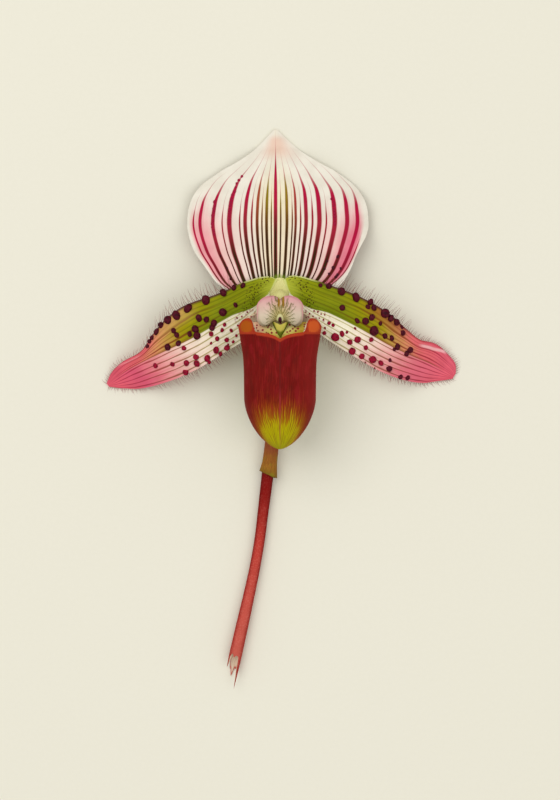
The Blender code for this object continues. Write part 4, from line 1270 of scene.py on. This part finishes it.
def make_lobes():
    """The two side lobes of the pouch that fold in over its mouth, and the yellow tooth where they meet."""
    u, v = grid(40, 40)
    span = (v + 1) / 2
    leaf = np.stack([span, u], -1)
    for name, side, outer_tone in (("lobe_left", -1, "#f4c0a0"), ("lobe_right", 1, "#ccae2c")):
        low = -14.2 + 1.8 * span**1.3
        swell = 1.9 * np.sin(np.pi * np.clip(u * 0.85 + 0.1, 0, 1)) ** 0.7 * (1 - 0.7 * span**4)
        front = np.stack([side * (0.1 + 8.0 * span), low + (-9.2 - low) * u, 19.6 + swell - 2.0 * u], -1)
        material = lobe_finish(name + "_spotted", outer_tone)
        hang_on(sheet_between(name, front, front - (0.0, 0.0, LOBE_THICKNESS), leaf, material), "lip")
    half = 2.4 * (1 - u) ** 0.85 + 0.15
    y = -10.1 - 3.5 * u + 1.2 * (1 - u) * np.abs(v)
    z = 20.95 + 0.45 * (1 - v**2) - 0.2 * u
    front = np.stack([half * v + 0.1, y, z], -1)
    hang_on(sheet_between("tooth", front, front - (0.0, 0.0, TOOTH_THICKNESS), leaf, tooth_finish()), "lip")


def tube_points(path, radii, rings, sides, rib=0.0):
    """Points of a round stalk, ribbed by a share of its radius if asked, and its leaf map."""
    shares = np.linspace(0.0, 1.0, rings + 1)
    middle = along_path(path, shares)
    ahead = np.gradient(middle, axis=0)
    ahead /= np.linalg.norm(ahead, axis=-1, keepdims=True)
    side = np.array((1.0, 0.0, 0.0))
    radius = through(list(zip(np.linspace(0.0, 1.0, len(radii)), radii)), shares)
    angle = np.linspace(0.0, 2 * np.pi, sides, endpoint=False)
    rows = []
    for here, forward, reach in zip(middle, ahead, radius):
        side = side - forward * side.dot(forward)
        side /= np.linalg.norm(side)
        other = np.cross(forward, side)
        size = reach * (1 + rib * np.cos(STALK_RIBS * angle))[:, None]
        rows.append(here + size * (np.cos(angle)[:, None] * side + np.sin(angle)[:, None] * other))
    aside = np.abs(np.linspace(-1, 1, sides, endpoint=False))
    return np.array(rows), np.stack(np.meshgrid(shares, aside, indexing="ij")[::-1], -1)


def make_tube(name, slot, replaced, path, radii, rings, sides, material, rib=0.0):
    """A finished round piece along a path, in the place of the replaced nodes."""
    made = tube_of(name, *tube_points(path, radii, rings, sides, rib), material)
    return hang_on(made, slot, *replaced)


def make_shield():
    """The shield: two round lobes over a low dome, with two grooves above and a boss below them."""
    share, angle = np.meshgrid(
        np.linspace(0.02, 1.0, 61), np.linspace(0.0, 2 * np.pi, 180, endpoint=False), indexing="ij"
    )
    elevation = np.degrees(np.arctan2(np.sin(angle), np.abs(np.cos(angle))))
    reach = through(SHIELD_REACH, elevation) * share
    x = SHIELD_MIDDLE[0] + reach * np.cos(angle)
    y = SHIELD_MIDDLE[1] + reach * np.sin(angle)
    pillow = 0.8 * (1 - share**2) + 0.5 * bump(np.abs(x), 3.4, 2.2) * (1 - share**6)
    grooves = 0.45 * bump(np.abs(x - GROOVES_MIDDLE_X), GROOVES_HALF_GAP, 0.3) * step(-6.0, -4.6, y)
    away = np.hypot(x - BOSS_PLACE[0], (y - BOSS_PLACE[1]) * 0.55)
    z = SHIELD_HEIGHT + SHIELD_THICKNESS + 1.0 - 0.7 * step(0.88, 1.0, share) + pillow - grooves
    front = np.stack([x, y, z + 0.7 * bump(away, 0.0, 0.6)], -1)
    back = np.stack([x, y, np.full_like(x, SHIELD_HEIGHT)], -1)
    turn = np.arctan2(x - BOSS_PLACE[0], y - BOSS_PLACE[1])
    leaf = np.stack([turn / (2 * np.pi) + 0.5, away / 7.0], -1)
    made = shell_between("shield_skin", front, back, (leaf, leaf), shield_finish(), False, True)
    return hang_on(made, "staminode", "staminode")


def make_anthers():
    """The two fertile anthers, each with a slight waist, beside the column and under the shield."""
    material = streaked_finish("anther_cream", "#e4cf86", "#b08f3c", 5.0)
    x, y, z = ANTHER_PLACE
    shares = np.linspace(0.03, 0.97, 9)
    for name, side in (("anther_left", -1), ("anther_right", 1)):
        path = [(side * x, y + ANTHER_HALF_LENGTH * math.cos(math.pi * s), z) for s in shares]
        waist = 0.92 + 0.08 * np.cos(4 * math.pi * shares)
        radii = ANTHER_RADIUS * np.sin(math.pi * shares) * waist
        make_tube(name + "_skin", "anthers", (name,), path, radii, 24, 28, material)


def make_ovary():
    """The ribbed ovary and its collar."""
    material = streaked_finish("ovary_skin", "#9a8444", "#6d2f22", 12.0, share=0.7)
    make_tube("ovary_skin", "ovary", ("ovary",), OVARY_PATH, OVARY_RADII, 150, 48, material, rib=0.07)
    low = COLLAR_TOP - COLLAR_THICKNESS
    path = ((0, 0, low), (0, 0, low + 0.5), (0, 0, COLLAR_TOP - 0.2), (0, 0, COLLAR_TOP))
    radii = (COLLAR_RADIUS - 0.8, COLLAR_RADIUS, COLLAR_RADIUS, COLLAR_RADIUS - 0.3)
    make_tube("ovary_collar", "ovary", (), path, radii, 10, 48, material)


def make_bract():
    """The sheath round the foot of the ovary, open and slanted at both ends."""
    rings, sides = 60, 64
    outer, leaf = tube_points(BRACT_PATH, BRACT_RADII, rings, sides)
    middle = outer.mean(axis=1, keepdims=True)
    out = outer - middle
    radius = np.linalg.norm(out, axis=-1, keepdims=True)
    out = out / radius
    share = np.linspace(0.0, 1.0, rings + 1)[:, None, None]
    angle = np.linspace(0.0, 2 * np.pi, sides, endpoint=False)[None, :, None]
    ahead = np.array((-0.1, -1.0, 0.0))
    slant = BRACT_DROP * share**6 * (0.5 + 0.5 * out[..., :1])
    slant = (slant - BRACT_RISE * (1 - share) ** 2 * (0.5 + 0.5 * np.cos(angle + 2.2))) * ahead
    inner = middle + slant + np.minimum(radius - BRACT_WALL, 1.6) * out
    outer = outer + slant + 0.05 * np.cos(angle * 9) * out
    made = shell_between("bract_skin", outer, inner, (leaf, leaf), bract_finish(), True, True)
    return hang_on(made, "bract", "bract")


def make_scape():
    """The stem, torn off in strips at its lower end."""
    sides = 48
    points, leaf = tube_points(STEM_PATH, STEM_RADII, 150, sides)
    here = points[-1].mean(axis=0)
    ahead = here - points[-2].mean(axis=0)
    ahead /= np.linalg.norm(ahead)
    out = points[-1] - here
    angle = np.linspace(0.0, 360.0, sides, endpoint=False)
    torn = through(STEM_TORN, angle)[:, None]
    fray = 1 + 0.12 * np.sin(np.radians(angle) * 11)[:, None]
    for share, narrow, mark in STEM_END_RINGS:
        ring = here + torn * share * fray * ahead + narrow * out
        points = np.concatenate([points, ring[None]])
        leaf = np.concatenate([leaf, np.stack([leaf[-1, :, 0], np.full(sides, mark)], -1)[None]])
    return hang_on(tube_of("scape_skin", points, leaf, stem_finish()), "scape", "scape")


def floor_finish():
    """A plain pale cream surface with a trace of paper grain."""
    material, nodes, _, _ = new_finish("pale_surface")
    shader = material.node_tree.nodes["Principled BSDF"]
    paper = mix(noise(nodes.object_place(), 900.0, 4.0), "#e3dfcd", "#e6e2d1")
    nodes.give(shader.inputs["Base Color"], paper)
    shader.inputs["Roughness"].default_value = 0.9
    return material


def make_floor():
    """The surface that the flower lies on."""
    mesh = bpy.data.meshes.new("surface")
    corners = [(x * FLOOR_HALF, y * FLOOR_HALF, 0.0) for x, y in ((-1, -1), (1, -1), (1, 1), (-1, 1))]
    mesh.from_pydata(corners, [], [(0, 1, 2, 3)])
    mesh.materials.append(floor_finish())
    floor = bpy.data.objects.new("surface", mesh)
    bpy.context.scene.collection.objects.link(floor)


def make_camera():
    """Straight above the flower, with the photograph's frame."""
    camera = bpy.data.objects.new("camera", bpy.data.cameras.new("camera"))
    bpy.context.scene.collection.objects.link(camera)
    camera.data.sensor_width = SENSOR
    camera.data.lens = SENSOR * CAMERA_AWAY / (PHOTO_HEIGHT * PIXEL * MM)
    camera.data.clip_end = 10.0
    x = FLOWER_X + (PHOTO_WIDTH / 2 - FLOWER_PIXEL[0]) * PIXEL
    y = FLOWER_Y - (PHOTO_HEIGHT / 2 - FLOWER_PIXEL[1]) * PIXEL
    camera.location = (x * MM, y * MM, CAMERA_AWAY + SCALE_LEVEL * MM)
    bpy.context.scene.camera = camera


def make_lights():
    """A bright even room, a window light from the upper left and a weaker light from the right."""
    world = bpy.data.worlds.new("soft_room")
    bpy.context.scene.world = world
    world.use_nodes = True
    world.node_tree.nodes["Background"].inputs["Color"].default_value = (1.0, 1.0, 1.0, 1.0)
    world.node_tree.nodes["Background"].inputs["Strength"].default_value = ROOM_LIGHT
    for name, place, power in LAMPS:
        light = bpy.data.lights.new(name, "AREA")
        light.size = LAMP_SIZE
        light.energy = power
        made = bpy.data.objects.new(name, light)
        made.location = place
        ahead = -np.array(place) / np.linalg.norm(place)
        made.rotation_euler = (math.acos(-ahead[2]), 0.0, math.atan2(-ahead[0], ahead[1]))
        bpy.context.scene.collection.objects.link(made)
    bpy.context.scene.view_settings.view_transform = "Standard"


class StageOperator(bpy.types.Operator):
    """Makes the pale surface, the soft light and the camera above the flower"""

    bl_idname = "orchid.stage"
    bl_label = "Stage"

    def execute(self, context):
        make_floor()
        make_camera()
        make_lights()
        return {"FINISHED"}


class SepalsOperator(bpy.types.Operator):
    """Makes the veined dorsal sepal and the synsepal behind the pouch"""

    bl_idname = "orchid.sepals"
    bl_label = "Sepals"

    def execute(self, context):
        make_dorsal_sepal()
        make_sepal_beads()
        make_synsepal()
        return {"FINISHED"}


class PetalsOperator(bpy.types.Operator):
    """Makes the two petals"""

    bl_idname = "orchid.petals"
    bl_label = "Petals"

    def execute(self, context):
        make_petal("petal_left", LEFT_PETAL, LEFT_LOOK)
        make_petal("petal_right", RIGHT_PETAL, RIGHT_LOOK)
        return {"FINISHED"}


class WartsOperator(bpy.types.Operator):
    """Grows the warts on the petals"""

    bl_idname = "orchid.warts"
    bl_label = "Warts"

    def execute(self, context):
        make_warts("petal_left", LEFT_PETAL, LEFT_WARTS)
        make_warts("petal_right", RIGHT_PETAL, RIGHT_WARTS)
        return {"FINISHED"}


class HairsOperator(bpy.types.Operator):
    """Grows the hairs along the petals' edges"""

    bl_idname = "orchid.hairs"
    bl_label = "Hairs"

    def execute(self, context):
        make_hairs("petal_left", LEFT_PETAL, 11)
        make_hairs("petal_right", RIGHT_PETAL, 12)
        return {"FINISHED"}


class LipOperator(bpy.types.Operator):
    """Makes the pouch and its infolded lobes"""

    bl_idname = "orchid.lip"
    bl_label = "Pouch"

    def execute(self, context):
        make_lip()
        make_lobes()
        return {"FINISHED"}


class ColumnOperator(bpy.types.Operator):
    """Makes the column, its shield and its anthers"""

    bl_idname = "orchid.column"
    bl_label = "Column"

    def execute(self, context):
        material = streaked_finish("column_pale", "#dcd890", "#bcb262", 6.0, share=0.25)
        make_tube("column_skin", "column", ("column",), COLUMN_PATH, COLUMN_RADII, 50, 40, material)
        make_tube("column_cushion", "column", (), CUSHION_PATH, CUSHION_RADII, 16, 48, material)
        make_shield()
        make_anthers()
        return {"FINISHED"}


class StalkOperator(bpy.types.Operator):
    """Makes the ovary, the bract and the torn stem"""

    bl_idname = "orchid.stalk"
    bl_label = "Stalk"

    def execute(self, context):
        make_ovary()
        make_bract()
        make_scape()
        return {"FINISHED"}


OPERATORS = (
    StageOperator, SepalsOperator, PetalsOperator, WartsOperator, HairsOperator, LipOperator, ColumnOperator,
    StalkOperator,
)


class OrchidPanel(bpy.types.Panel):
    """Lists the flower's pieces, sizes and colours"""

    bl_idname = "VIEW3D_PT_orchid"
    bl_label = "Orchid"
    bl_space_type = "VIEW_3D"
    bl_region_type = "UI"
    bl_category = "Orchid"

    def draw(self, context):
        for group in (context.scene.orchid_sizes, context.scene.orchid_colours):
            for key in group.__annotations__:
                self.layout.prop(group, key)
        for operator in OPERATORS:
            self.layout.operator(operator.bl_idname)


CLASSES = (OrchidSizes, OrchidColours, *OPERATORS, OrchidPanel)


def register():
    for made in CLASSES:
        bpy.utils.register_class(made)
    bpy.types.Scene.orchid_sizes = bpy.props.PointerProperty(type=OrchidSizes)
    bpy.types.Scene.orchid_colours = bpy.props.PointerProperty(type=OrchidColours)


def unregister():
    del bpy.types.Scene.orchid_colours
    del bpy.types.Scene.orchid_sizes
    for made in reversed(CLASSES):
        bpy.utils.unregister_class(made)


def main():
    register()
    for operator in OPERATORS:
        group, name = operator.bl_idname.split(".")
        getattr(getattr(bpy.ops, group), name)()


if __name__ == "__main__":
    main()
